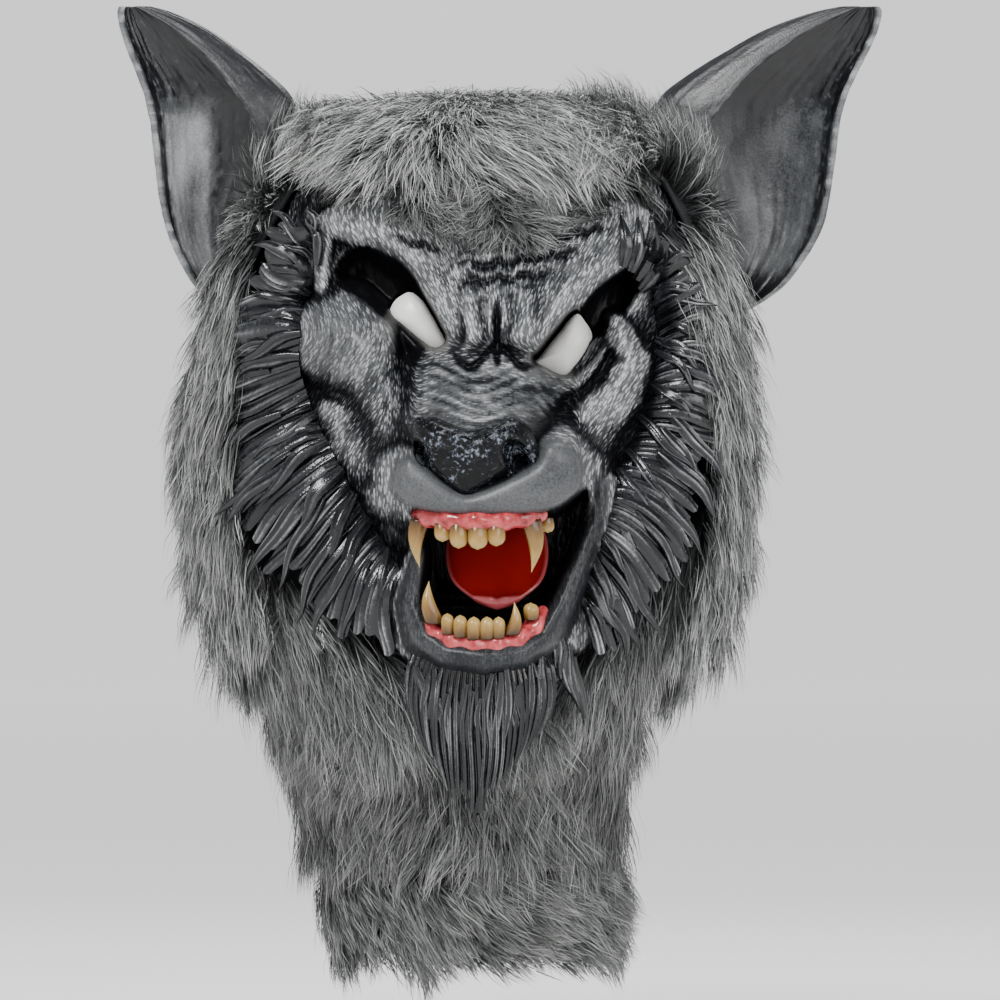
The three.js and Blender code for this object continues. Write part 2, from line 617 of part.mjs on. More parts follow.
// Ears: bent walls open to the front. Shares run out from the head, up from the ear's foot
const EAR = table(
  "rise outer back rim cup",
  [0.0, 0.17, -0.22, -0.22, 0.45],
  [0.057, 0.36, -0.25, -0.25, 0.6],
  [0.125, 0.5, -0.26, -0.25, 0.75],
  [0.25, 0.64, -0.27, -0.24, 0.95],
  [0.375, 0.71, -0.27, -0.18, 1.0],
  [0.5, 0.745, -0.27, -0.06, 1.0],
  [0.63, 0.775, -0.24, 0.055, 0.95],
  [0.71, 0.81, -0.205, 0.16, 0.85],
  [0.78, 0.865, -0.06, 0.27, 0.7],
  [0.86, 0.935, 0.16, 0.43, 0.52],
  [0.93, 0.985, 0.38, 0.62, 0.36],
  [0.98, 1.0, 0.62, 0.8, 0.24],
  [1.0, 0.985, 0.78, 0.88, 0.18],
);
const EAR_STEPS = 6;
const EAR_CURL = 0.45;

// With a gap it is the slot that the ear leaves in the fur fabric
function earGeometry(side, reach, gap = 0) {
  const foot = HALF + EAR_STAND;
  const rings = EAR.map(({ rise, outer, back, rim, cup }) => {
    const middle = foot + ((outer + back) / 2) * reach;
    const half = ((outer - back) / 2) * reach;
    const depth = cup * EAR_CUP;
    const endTurn = Math.acos(clamp((foot + rim * reach - middle) / -half, -1, 1));
    const past = gap / depth;
    const arc = (inset) =>
      Array.from({ length: EAR_STEPS + 1 }, (_, i) => {
        const beyond = i === 0 ? -past : i === EAR_STEPS ? past : 0;
        const turn = (Math.PI + endTurn) * (i / EAR_STEPS) + beyond;
        const forward = turn > Math.PI ? EAR_CURL : 1;
        const x = middle + Math.max(1, half - inset) * Math.cos(turn);
        const y = Math.max(1, depth - inset) * Math.sin(turn) * forward - EAR_FRONT;
        return new THREE.Vector3(side * x, y, rise * EAR_RISE - EAR_DROP);
      });
    return [...arc(-gap), ...arc(EAR_WALL + gap).reverse()];
  });
  if (gap > 0) rings.unshift(rings[0].map((point) => point.clone().setZ(point.z - gap)));
  return loft(rings);
}

// A tapered lock of hair from its root to its tip, bowed towards its outer side
const LOCK_SIDES = 4;

function lock(root, tip, outward, wide, thick, bow) {
  const along = tip.clone().sub(root);
  const up = outward.clone().normalize();
  const side = along.clone().cross(up).normalize();
  const rings = [[0.1, 0.9], [0.65, 0.8]].map(([share, scale]) => {
    const centre = root.clone().addScaledVector(along, share);
    centre.addScaledVector(up, bow * Math.sin(Math.PI * share));
    const half = side.clone().multiplyScalar((wide / 2) * scale);
    return ringAt(centre, half, up.clone().multiplyScalar((thick / 2) * scale), LOCK_SIDES);
  });
  return toSolid(loft(rings, root, tip));
}

// Sculpted latex hair beside the face: a row for each lock, from its root to its tip
const RUFF_LEFT = table(
  "across down tipAcross tipDown wide",
  [-0.76, 0.22, -0.84, 0.17, 12], [-0.8, 0.25, -1.0, 0.18, 14], [-0.8, 0.29, -1.07, 0.26, 16],
  [-0.84, 0.34, -1.17, 0.33, 18], [-0.86, 0.39, -1.28, 0.44, 20], [-0.87, 0.45, -1.3, 0.53, 20],
  [-0.81, 0.53, -1.23, 0.64, 20], [-0.74, 0.59, -1.13, 0.74, 20], [-0.67, 0.64, -1.0, 0.81, 20],
  [-0.59, 0.7, -0.83, 0.88, 18], [-0.49, 0.76, -0.63, 0.93, 19], [-0.37, 0.83, -0.4, 0.96, 17],
);
const RUFF_RIGHT = table(
  "across down tipAcross tipDown wide",
  [0.79, 0.26, 0.75, 0.17, 13], [0.84, 0.29, 1.03, 0.26, 15], [0.84, 0.34, 1.1, 0.35, 18],
  [0.86, 0.4, 1.14, 0.45, 20], [0.84, 0.46, 1.14, 0.56, 20], [0.79, 0.53, 1.09, 0.64, 20],
  [0.73, 0.59, 1.03, 0.74, 20], [0.65, 0.66, 0.91, 0.84, 20], [0.58, 0.74, 0.79, 0.9, 19],
  [0.53, 0.81, 0.68, 0.96, 18], [0.47, 0.88, 0.55, 0.98, 15],
);

// The band that joins the roots of a ruff is thinner than its locks
const BAND_SHARE = 0.4;

// The flared surface on which the tips of the ruff lie
const ruffY = (x) =>
  -RUFF_FRONT * (1 - Math.min(1, Math.abs(x) / RUFF_SPREAD) ** ROUNDNESS) ** (1 / ROUNDNESS);

function ruff(rows, ...seats) {
  const roots = [];
  const locks = rows.map((row) => {
    const root = facePoint(row.across, row.down, 0);
    root.y -= faceRelief(root.x, -root.z) + RUFF_THICK / 2;
    const tip = new THREE.Vector3(row.tipAcross * HALF, 0, -row.tipDown * FACE_DROP);
    tip.setY(ruffY(tip.x));
    roots.push(root);
    const outward = new THREE.Vector3(root.x / 2, -HALF, 0);
    return lock(root, tip, outward, row.wide, RUFF_THICK, RUFF_THICK * 0.6);
  });
  const curve = new THREE.CatmullRomCurve3(roots);
  const steps = rows.length;
  const rings = Array.from({ length: steps + 1 }, (_, i) => {
    const out = new THREE.Vector3(Math.sign(roots[0].x), -1, 0).setLength(RUFF_THICK * BAND_SHARE);
    const side = new THREE.Vector3(out.y, -out.x, 0);
    return ringAt(curve.getPointAt(i / steps), out, side, LOCK_SIDES);
  });
  const band = toSolid(loft(rings, curve.getPointAt(0), curve.getPointAt(1)));
  return cut(fuse([band, ...locks]), ...seats);
}

// Sculpted beard: ridged sections that taper from the chin to a tip
const BEARD = table(
  "down half lift thick",
  [0.0, 0.8, 0.5, 1.0], [0.12, 1.0, 0.55, 1.0], [0.38, 0.86, 0.48, 0.9], [0.6, 0.62, 0.43, 0.8],
  [0.8, 0.4, 0.38, 0.6], [0.94, 0.2, 0.34, 0.4],
);
const BEARD_SIDES = 16;
const BEARD_RIDGE = 0.08;

function beard(...seats) {
  const rings = BEARD.map(({ down, half, lift, thick }) => {
    const drop = FACE_DROP + down * BEARD_LENGTH;
    const centre = new THREE.Vector3(0, frontY(0, drop) - lift * MUZZLE_REACH, -drop);
    return Array.from({ length: BEARD_SIDES }, (_, i) => {
      const turn = (i / BEARD_SIDES) * Math.PI * 2;
      const ridge = 1 + (i % 2 ? -BEARD_RIDGE : BEARD_RIDGE);
      const x = Math.cos(turn) * (BEARD_WIDTH / 2) * half * ridge;
      const y = Math.sin(turn) * RUFF_THICK * thick * ridge;
      return new THREE.Vector3(centre.x + x, centre.y + y, centre.z);
    });
  });
  const end = (row, step) => {
    const drop = FACE_DROP + (row.down + step) * BEARD_LENGTH;
    return new THREE.Vector3(0, frontY(0, drop) - row.lift * MUZZLE_REACH, -drop);
  };
  const solid = toSolid(loft(rings, end(BEARD[0], -0.06), end(BEARD[BEARD.length - 1], 0.06)));
  return cut(solid, ...seats);
}

// Fur hood: fabric over the crown, the sides and the back, open at the face, with rows of locks
const HOOD_COLUMNS = 22;
const HOOD_OPEN = { brow: 0.115, from: 66, to: 90 };
const HOOD_FALL = 1.8;
const HOOD_ROWS = [0.05, 0.13, 0.21, 0.3, 0.41, 0.54, 0.68, 0.82, 0.95];
const LOCK_FORM = { over: 0.45, notch: -0.3, notchThick: 0.35, step: 0.02 };
const CREST = { more: 1.6, drop: 0.2, width: 40 };

// The drop at which the hood's edge lies at an angle round the head
function hoodEdge(angle) {
  const brow = HOOD_OPEN.brow * FACE_DROP;
  return mix(brow, HOOD_HEIGHT, ease(Math.abs(angle), HOOD_OPEN.from, HOOD_OPEN.to));
}

// Rows of fur locks on fabric: each row leans out to its tips, and the next starts under it
function lockRings(starts, angles, place) {
  const rings = [];
  for (let row = 0; row + 1 < starts.length; row += 1) {
    const gap = starts[row + 1] - starts[row];
    rings.push(angles.map((angle) => place(angle, starts[row], FABRIC)));
    rings.push(angles.map((angle, i) => {
      const isTip = (i + row) % 2 === 0;
      const share = starts[row + 1] + gap * (isTip ? LOCK_FORM.over : LOCK_FORM.notch);
      return place(angle, share, FABRIC + FUR_THICK * (isTip ? 1 : LOCK_FORM.notchThick));
    }));
  }
  return rings;
}

// Fur stands up most beside the crown, in front of the ears
function crest(angle, drop) {
  const beside = Math.exp(-(((Math.abs(angle) - 90) / CREST.width) ** 2));
  return 1 + CREST.more * beside * (1 - ease(drop / HOOD_HEIGHT, 0, CREST.drop));
}

function hood(...seats) {
  const angles = Array.from({ length: HOOD_COLUMNS }, (_, i) => mix(-180, 180, i / HOOD_COLUMNS));
  const place = (angle, share, outset) => {
    const drop = share ** HOOD_FALL * hoodEdge(angle);
    return headPoint(angle, drop, FABRIC_GAP + outset * crest(angle, drop), DRAPE);
  };
  const outer = lockRings(HOOD_ROWS, angles, place);
  const inner = HOOD_ROWS.map((share) => angles.map((angle) => place(angle, share, 0)));
  const crown = (outset) => new THREE.Vector3(0, 0, SHELL_WALL + FABRIC_GAP + outset);
  const solid = toSolid(loft([...outer, ...inner.reverse()], crown(FABRIC), crown(0)));
  return cut(solid, ...seats);
}

// A hanging panel of fur fabric round the front of the neck
function panel({ top, length, from, to, columns, rows }, ...seats) {
  const angles = Array.from({ length: columns + 1 }, (_, i) => mix(from, to, i / columns));
  const place = (angle, share, outset) => headPoint(angle, top + share * length, FABRIC_GAP + outset, BIB);
  const rings = lockRings(rows, angles, place).map((line, i) => {
    const share = i % 2 ? rows[(i + 1) / 2] - LOCK_FORM.step : rows[i / 2];
    return [...line, ...angles.map((angle) => place(angle, share, 0)).reverse()];
  });
  return cut(toSolid(loft(rings)), ...seats);
}

const BIB_PANEL = {
  top: BIB_TOP, length: BIB_LENGTH, from: -76, to: 62, columns: 14, rows: [0, 0.24, 0.48, 0.72, 0.93],
};
const HEM_PANEL = {
  top: BIB_TOP + BIB_LENGTH * HEM_START, length: HEM_LENGTH,
  from: -70, to: 66, columns: 14, rows: [0, 0.42, 0.86],
};

// Assembly
const skin = shellGeometry();
const skinSolid = toSolid(skin);
const skinSeat = swell(skin, SEAT_GAP * 1.3);
const headShell = cut(skinSolid, toSolid(hollowGeometry()), ...EYES.map(eyeHole));

const earLeft = cut(toSolid(earGeometry(-1, EAR_REACH_LEFT)), skinSeat);
const earRight = cut(toSolid(earGeometry(1, EAR_REACH_RIGHT)), skinSeat);
const earSeats = [
  toSolid(earGeometry(-1, EAR_REACH_LEFT, LOOSE_GAP)),
  toSolid(earGeometry(1, EAR_REACH_RIGHT, LOOSE_GAP)),
];

const gumUpper = cut(bead(UPPER_GUM, GUM_THICK, 0), skinSeat);
const gumLower = cut(bead(LOWER_GUM, LOWER_GUM_THICK, 0), skinSeat);
const gumSeats = [bead(UPPER_GUM, GUM_THICK, SEAT_GAP), bead(LOWER_GUM, LOWER_GUM_THICK, SEAT_GAP)];

const ruffLeft = ruff(RUFF_LEFT, skinSeat, ...earSeats);
const ruffRight = ruff(RUFF_RIGHT, skinSeat, ...earSeats);
const chinBeard = beard(skinSeat);

const furHood = hood(skinSeat, ...earSeats);
const furBib = panel(BIB_PANEL, skinSeat);
const furHem = panel(HEM_PANEL, skinSeat);

const LATEX = { color: 0x5a6066, roughness: 0.45, metalness: 0 };
const BLACK_LATEX = { color: 0x1b1d20, roughness: 0.3, metalness: 0 };
const HAIR_LATEX = { color: 0x4a4f54, roughness: 0.4, metalness: 0 };
const FUR = { color: 0x6d7173, roughness: 0.9, metalness: 0 };
const GUM = { color: 0xb5484a, roughness: 0.3, metalness: 0 };
const TONGUE_RED = { color: 0x7d1512, roughness: 0.2, metalness: 0 };
const TOOTH = { color: 0xc9a968, roughness: 0.35, metalness: 0 };
const WHITE = { color: 0xe8e6e0, roughness: 0.4, metalness: 0 };

const mask = new THREE.Group();
function add(name, solid, finish) {
  const geometry = solid.isBufferGeometry ? solid : toGeometry(solid);
  const mesh = new THREE.Mesh(geometry, new THREE.MeshStandardMaterial(finish));
  mesh.name = name;
  mask.add(mesh);
}

add("latex_head", headShell, LATEX);
for (const eye of EYES) add(eye.name, eyeGeometry(eye), WHITE);
add("nose_pad", nosePad(skinSeat), BLACK_LATEX);
add("upper_gum", gumUpper, GUM);
add("lower_gum", gumLower, GUM);
for (const row of TEETH) add(row.name, tooth(row, skinSeat, ...gumSeats), TOOTH);
add("tongue", tongue(skinSeat), TONGUE_RED);
add("ear_left", earLeft, BLACK_LATEX);
add("ear_right", earRight, BLACK_LATEX);
add("cheek_ruff_left", ruffLeft, HAIR_LATEX);
add("cheek_ruff_right", ruffRight, HAIR_LATEX);
add("chin_beard", chinBeard, HAIR_LATEX);
add("fur_hood", furHood, FUR);
add("fur_bib", furBib, FUR);
add("fur_hem", furHem, FUR);

export default mask;
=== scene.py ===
import math

import bpy
import numpy as np
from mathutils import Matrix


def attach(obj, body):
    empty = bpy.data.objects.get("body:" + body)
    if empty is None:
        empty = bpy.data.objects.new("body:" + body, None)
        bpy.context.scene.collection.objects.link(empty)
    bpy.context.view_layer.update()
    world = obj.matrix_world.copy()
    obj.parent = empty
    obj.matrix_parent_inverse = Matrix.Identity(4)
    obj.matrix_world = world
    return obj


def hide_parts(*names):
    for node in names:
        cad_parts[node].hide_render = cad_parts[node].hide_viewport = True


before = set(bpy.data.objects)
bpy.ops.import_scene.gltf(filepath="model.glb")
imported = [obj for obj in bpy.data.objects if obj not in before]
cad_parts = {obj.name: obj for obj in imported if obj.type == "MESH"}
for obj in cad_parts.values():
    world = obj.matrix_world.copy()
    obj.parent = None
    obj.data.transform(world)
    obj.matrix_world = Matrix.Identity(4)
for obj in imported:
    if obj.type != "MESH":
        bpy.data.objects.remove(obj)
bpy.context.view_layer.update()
print("stage: frame loaded")

# The head's sizes in millimetres, the same as in the part
head = {"half": 98, "front": 92, "back": 116, "height": 322, "dome": 96, "wall": 2.6, "round": 2.2,
        "domePower": 3.6, "faceDrop": 250, "reach": 70, "edgeRoll": 10}

# Sections below the crown: drop as a share of the height, then half, front, back and sideways shares
shellRows = np.array([
    [0.0, 1.0, 1.0, 1.0, 0.0], [0.3, 1.0, 1.0, 1.0, 0.0], [0.52, 0.93, 0.97, 0.93, 0.0],
    [0.7, 0.78, 0.92, 0.8, 0.0], [0.84, 0.66, 0.8, 0.7, 0.0], [1.0, 0.62, 0.7, 0.66, 0.0]])
drapeRows = np.array([
    [0.0, 1.0, 1.0, 1.0, 0.0], [0.15, 1.03, 1.0, 1.0, 0.0], [0.3, 1.16, 1.01, 1.01, -0.05],
    [0.45, 1.21, 1.01, 1.0, -0.08], [0.6, 1.16, 1.0, 0.97, -0.09], [0.74, 1.0, 0.96, 0.92, -0.1],
    [0.84, 0.86, 0.92, 0.86, -0.1]])
bibRows = np.array([
    [0.7, 0.94, 0.95, 0.9, -0.1], [0.84, 0.82, 0.84, 0.8, -0.09], [1.0, 0.7, 0.74, 0.7, -0.06],
    [1.28, 0.6, 0.66, 0.6, 0.0]])

rng = np.random.default_rng(7)


def mix(a, b, t):
    return a + (b - a) * t


def ease(value, low, high):
    t = np.clip((value - low) / (high - low), 0, 1)
    return t * t * (3 - 2 * t)


def signedPower(value, power):
    return np.sign(value) * np.abs(value) ** power


def unit(v):
    return v / np.maximum(np.linalg.norm(v, axis=-1, keepdims=True), 1e-9)


def hump(value, middle, width, power=2):
    # one at the middle, falling away over the width
    return np.exp(-((value - middle) / width) ** power)


def band(value, low, full, fall, high):
    # rises from low to full, and falls again from fall to high
    return ease(value, low, full) * (1 - ease(value, fall, high))


def turns(sides):
    return np.arange(sides) / sides * 2 * np.pi


def blendUp(a, b, soft):
    near = np.maximum(soft - np.abs(a - b), 0) / soft
    return np.maximum(a, b) + near * near * soft / 4


def blendDown(a, b, soft):
    return -blendUp(-a, -b, soft)


def blur(grid, cells):
    # softens a grid of values over some cells, edges held
    reach = int(3 * cells) + 1
    kernel = np.exp(-np.arange(-reach, reach + 1) ** 2 / (2 * cells * cells))
    kernel /= kernel.sum()
    for axis in (0, 1):
        wide = np.pad(grid, [(reach, reach) if a == axis else (0, 0) for a in (0, 1)], mode="edge")
        total = np.zeros_like(grid)
        for k, weight in enumerate(kernel):
            total += weight * (wide[k:k + grid.shape[0], :] if axis == 0 else wide[:, k:k + grid.shape[1]])
        grid = total
    return grid


def smear(grid, flowDown, flowAcross, reach):
    # draws a grid of noise out into strokes along a flow given in cells
    rows, cols = grid.shape
    r, c = np.meshgrid(np.arange(rows), np.arange(cols), indexing="ij")
    total = np.zeros_like(grid)
    for step in np.linspace(-reach, reach, 2 * int(reach) + 1):
        y = np.clip(r + flowDown * step, 0, rows - 1.001)
        x = np.clip(c + flowAcross * step, 0, cols - 1.001)
        i, j = y.astype(int), x.astype(int)
        fy, fx = y - i, x - j
        total += (grid[i, j] * (1 - fy) * (1 - fx) + grid[i + 1, j] * fy * (1 - fx)
                  + grid[i, j + 1] * (1 - fy) * fx + grid[i + 1, j + 1] * fy * fx)
    total -= total.mean()
    return total / total.std()


def sectionAt(rows, drop):
    share = np.clip(np.asarray(drop, float) / head["height"], rows[0, 0], rows[-1, 0])
    nxt = np.clip(np.searchsorted(rows[:, 0], share, side="left"), 1, len(rows) - 1)
    a, b = rows[nxt - 1], rows[nxt]
    t = (share - a[..., 0]) / (b[..., 0] - a[..., 0])
    t = 0.5 * t * t * (3 - 2 * t) + 0.5 * t
    return a + (b - a) * t[..., None]


def domeShare(drop):
    left = np.clip(1 - np.asarray(drop, float) / head["dome"], 0, 1)
    return (1 - left ** head["domePower"]) ** (1 / head["round"])


def headPoint(angle, drop, outset, rows=shellRows):
    # a point of the plain head at an angle in degrees round it (0 in front) and a drop below the crown
    angle, drop = np.broadcast_arrays(np.asarray(angle, float), np.asarray(drop, float))
    section = sectionAt(rows, drop)
    dome = domeShare(drop)
    grow = outset * np.minimum(1, dome * 1.5)
    depth = np.where(np.abs(angle) <= 90, section[..., 2] * head["front"], section[..., 3] * head["back"])
    turn = np.radians(angle)
    x = (section[..., 1] * head["half"] * dome + grow) * signedPower(np.sin(turn), 2 / head["round"])
    y = -(depth * dome + grow) * signedPower(np.cos(turn), 2 / head["round"])
    z = head["wall"] - drop + outset * (1 - dome)
    return np.stack([x + section[..., 4] * head["half"], y, z], -1)


def frontY(x, drop):
    section = sectionAt(shellRows, drop)
    dome = domeShare(drop)
    share = np.minimum(1, np.abs(x) / np.maximum(section[..., 1] * head["half"] * dome, 1e-6))
    return -section[..., 2] * head["front"] * dome * (1 - share ** head["round"]) ** (1 / head["round"])


def facePoint(across, down, lift):
    x, drop = np.asarray(across) * head["half"], np.asarray(down) * head["faceDrop"]
    return np.stack([x, frontY(x, drop) - np.asarray(lift) * head["reach"], -drop], -1)


def curveThrough(points, count, closed=False):
    # a smooth curve through points of any width, at even steps along its length
    P = np.asarray(points, float)
    n = len(P)
    steps = 12
    rows = []
    for i in range(n if closed else n - 1):
        p = [P[(i + j) % n] if closed else P[min(max(i + j, 0), n - 1)] for j in (-1, 0, 1, 2)]
        for q in range(steps):
            t = q / steps
            rows.append(0.5 * (2 * p[1] + (p[2] - p[0]) * t + (2 * p[0] - 5 * p[1] + 4 * p[2] - p[3]) * t * t
                               + (-p[0] + 3 * p[1] - 3 * p[2] + p[3]) * t ** 3))
    rows.append(P[0] if closed else P[-1])
    rows = np.array(rows)
    steps = np.diff(rows[:, :min(3, rows.shape[1])], axis=0)
    gone = np.concatenate([[0], np.cumsum(np.linalg.norm(steps, axis=1))])
    at = np.linspace(0, gone[-1], count + 1 if closed else count)
    if closed:
        at = at[:-1]
    return np.stack([np.interp(at, gone, rows[:, k]) for k in range(rows.shape[1])], -1)


def onFace(points):
    # shares across and down as millimetres
    return np.array(points) * [head["half"], head["faceDrop"]]


def rowAt(table, at):
    # a table's row at a place between its rows
    return np.stack([np.interp(at, np.arange(len(table)), column) for column in table.T], -1)


def formHeight(rows, x, drop, power=2.3, fall=18):
    # rows hold across, down and radius as shares, and lift as a share of the reach
    height = np.full(x.shape, -1e9)
    for a, b in zip(rows[:-1], rows[1:]):
        ax, az = a[0] * head["half"], a[1] * head["faceDrop"]
        dx, dz = b[0] * head["half"] - ax, b[1] * head["faceDrop"] - az
        t = np.clip(((x - ax) * dx + (drop - az) * dz) / (dx * dx + dz * dz + 1e-9), 0, 1)
        away = np.hypot(x - ax - t * dx, drop - az - t * dz)
        lift = mix(a[3], b[3], t) * head["reach"]
        radius = mix(a[2], b[2], t) * head["half"]
        height = np.maximum(height, lift - (fall + 0.45 * np.abs(lift)) * (away / radius) ** power)
    return height


def outlineDistance(points, x, drop):
    edge = curveThrough(onFace(points), 72, True)
    edge = np.vstack([edge, edge[:1]])
    nearest = np.full(x.shape, 1e9)
    inside = np.zeros(x.shape, bool)
    for a, b in zip(edge[:-1], edge[1:]):
        dx, dz = b - a
        t = np.clip(((x - a[0]) * dx + (drop - a[1]) * dz) / (dx * dx + dz * dz + 1e-9), 0, 1)
        nearest = np.minimum(nearest, np.hypot(x - a[0] - t * dx, drop - a[1] - t * dz))
        if abs(dz) > 1e-9:
            inside ^= ((a[1] > drop) != (b[1] > drop)) & (x < dx * (drop - a[1]) / dz + a[0])
    return np.where(inside, -nearest, nearest)


def slabHeight(points, x, drop, lift, steep=1):
    t = np.clip(1 + outlineDistance(points, x, drop) / head["edgeRoll"], 0, 4)
    roll = np.where(t < 1, 1 - np.sqrt(np.clip(1 - t * t, 0, 1)), 1)
    return lift - head["edgeRoll"] / 2 * roll - steep * head["reach"] / 2 * np.maximum(0, t - 1)


def makePiece(name, built, material, node):
    # built holds verts in millimetres, index arrays three or four wide, and perhaps attributes
    verts, faces, *looks = built
    mesh = bpy.data.meshes.new(name)
    groups = [np.asarray(f, np.int32) for f in faces]
    counts = np.concatenate([np.full(len(f), f.shape[1], np.int32) for f in groups])
    corners = np.concatenate([f.ravel() for f in groups])
    mesh.vertices.add(len(verts))
    mesh.vertices.foreach_set("co", (np.asarray(verts) * 0.001).astype(np.float32).ravel())
    mesh.loops.add(len(corners))
    mesh.loops.foreach_set("vertex_index", corners)
    mesh.polygons.add(len(counts))
    mesh.polygons.foreach_set("loop_start", np.concatenate([[0], np.cumsum(counts)[:-1]]).astype(np.int32))
    mesh.update(calc_edges=True)
    mesh.polygons.foreach_set("use_smooth", np.full(len(counts), True))
    for key, values in (looks[0] if looks else {}).items():
        layer = mesh.attributes.new(key, "FLOAT", "POINT")
        layer.data.foreach_set("value", np.asarray(values, np.float32).ravel())
    mesh.materials.append(material)
    piece = bpy.data.objects.new(name, mesh)
    bpy.context.scene.collection.objects.link(piece)
    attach(piece, "root")
    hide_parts(node)
    pieceTriangles[name] = int((counts - 2).sum())
    print(f"piece: {name} {pieceTriangles[name]} triangles")
    return piece


def gridFaces(rows, cols, closed=False, first=0):
    r, c = np.meshgrid(np.arange(rows - 1), np.arange(cols if closed else cols - 1), indexing="ij")
    a = first + r * cols + c
    b = first + r * cols + (c + 1) % cols
    return np.stack([a, b, b + cols, a + cols], -1).reshape(-1, 4)


def capFaces(middle, ring, turned=False):
    # a fan of triangles from one point to a ring of points
    nxt = np.roll(ring, -1)
    return np.stack([np.full(len(ring), middle), *((nxt, ring) if turned else (ring, nxt))], -1)


def tubeFaces(rows, sides):
    # a tube closed at its two ends, whose end points come last
    n, ring = rows * sides, np.arange(sides)
    return [gridFaces(rows, sides, True), capFaces(n, ring, True), capFaces(n + 1, n - sides + ring)]


def wallFaces(rows, cols):
    # a grid, a second one behind it and the four edges between them
    n, end, last = rows * cols, cols - 1, (rows - 1) * cols
    r, c = np.arange(rows - 1) * cols, np.arange(cols - 1)
    return [gridFaces(rows, cols), gridFaces(rows, cols, False, n)[:, ::-1],
            np.stack([r, r + cols, n + r + cols, n + r], -1),
            np.stack([r + end, n + r + end, n + r + cols + end, r + cols + end], -1),
            np.stack([c, n + c, n + c + 1, c + 1], -1),
            np.stack([last + c, last + c + 1, n + last + c + 1, n + last + c], -1)]


def joinParts(parts):
    # parts are (verts, faces, attributes); gives one of the same
    verts, faces, attributes, start = [], {}, {}, 0
    for points, groups, looks in parts:
        verts.append(points)
        for group in groups:
            faces.setdefault(group.shape[1], []).append(group + start)
        for key, value in looks.items():
            attributes.setdefault(key, []).append(value)
        start += len(points)
    return (np.concatenate(verts), [np.concatenate(group) for group in faces.values()],
            {key: np.concatenate(values) for key, values in attributes.items()})


pieceTriangles = {}

# Materials. Colours are linear
look = {
    "black": (0.004, 0.004, 0.005), "deep": (0.013, 0.0145, 0.017), "grey": (0.09, 0.094, 0.098),
    "pale": (0.46, 0.47, 0.475), "stroke": 0.58, "strokeWide": 0.13, "strokeLong": 0.62,
    "cells": ((0.0034, 0.0), (0.0029, 37.3), (0.0024, 71.9)),
}


class Nodes:
    # short hand for building a material's nodes
    def __init__(self, name):
        self.material = bpy.data.materials.new(name)
        self.material.use_nodes = True
        self.tree = self.material.node_tree
        self.shader = self.tree.nodes["Principled BSDF"]

    def put(self, kind, settings=None, **inputs):
        node = self.tree.nodes.new("ShaderNode" + kind)
        for key, value in (settings or {}).items():
            setattr(node, key, value)
        for key, value in inputs.items():
            self.feed(node, key, value)
        return node

    def feed(self, node, key, value):
        # "_0" is an input by number, "Base_Color" one by name
        name = key.replace("_", " ")
        socket = node.inputs[int(name) if name.strip().isdigit() else name]
        if isinstance(value, bpy.types.NodeSocket):
            self.tree.links.new(value, socket)
        else:
            socket.default_value = value

    def value(self, name):
        return self.put("Attribute", {"attribute_name": name}).outputs["Fac"]

    def math(self, how, a, b=0.0, clamp=False):
        return self.put("Math", {"operation": how, "use_clamp": clamp}, _0=a, _1=b).outputs[0]

    def swing(self, value, size):
        # turns a noise of 0 to 1 into one that swings about nothing
        return self.math("MULTIPLY", self.math("SUBTRACT", value, 0.5), size)

    def ramp(self, value, *stops):
        node = self.put("ValToRGB", Fac=value)
        steps = node.color_ramp.elements
        while len(steps) < len(stops):
            steps.new(1.0)
        for step, (place, colour) in zip(steps, stops):
            step.position = place
            step.color = (*colour, 1)
        return node.outputs["Color"]

    def noise(self, scale, detail=3.0, rough=0.5, stretch=(1, 1, 1)):
        coords = self.put("TexCoord").outputs["Object"]
        place = self.put("Mapping", Vector=coords, Scale=stretch).outputs["Vector"]
        return self.put("TexNoise", Vector=place, Scale=scale, Detail=detail, Roughness=rough).outputs["Fac"]

    def finish(self, colour, roughness, bump=None, strength=0.3, distance=0.0005, **extra):
        self.feed(self.shader, "Base_Color", colour)
        self.feed(self.shader, "Roughness", roughness)
        for key, value in extra.items():
            self.feed(self.shader, key, value)
        if bump is not None:
            node = self.put("Bump", Height=bump, Strength=strength, Distance=distance)
            self.feed(self.shader, "Normal", node.outputs["Normal"])
        return self.material


def brushMarks(n, size, shift):
    # short strokes lying along the flow of the skin, one in each small cell
    here = n.put("SeparateXYZ", Vector=n.put("TexCoord").outputs["Object"])
    x = n.math("ADD", n.math("MULTIPLY", here.outputs["X"], 1 / size), shift)
    z = n.math("ADD", n.math("MULTIPLY", here.outputs["Z"], 1 / size), shift * 1.7)
    spot = n.put("CombineXYZ", X=x, Y=z).outputs["Vector"]
    cell = n.put("TexVoronoi", {"voronoi_dimensions": "2D"}, Vector=spot, Scale=1.0)
    away = n.put("VectorMath", {"operation": "SUBTRACT"},
                 _0=spot, _1=cell.outputs["Position"]).outputs["Vector"]
    flow = n.put("CombineXYZ", X=n.value("flowX"), Y=n.value("flowZ")).outputs["Vector"]
    cross = n.put("CombineXYZ", X=n.value("flowZ"),
                  Y=n.math("MULTIPLY", n.value("flowX"), -1.0)).outputs["Vector"]
    squares = []
    for axis, reach in ((flow, look["strokeLong"]), (cross, look["strokeWide"])):
        share = n.put("VectorMath", {"operation": "DOT_PRODUCT"}, _0=away, _1=axis).outputs["Value"]
        squares.append(n.math("POWER", n.math("ABSOLUTE", n.math("DIVIDE", share, reach)), 2.0))
    mark = n.math("SUBTRACT", 1.0, n.math("ADD", *squares), True)
    chance = n.put("SeparateColor", Color=cell.outputs["Color"]).outputs["Red"]
    return n.math("MULTIPLY", n.math("POWER", mark, 0.6), n.math("ADD", n.math("MULTIPLY", chance, 0.9), 0.1))


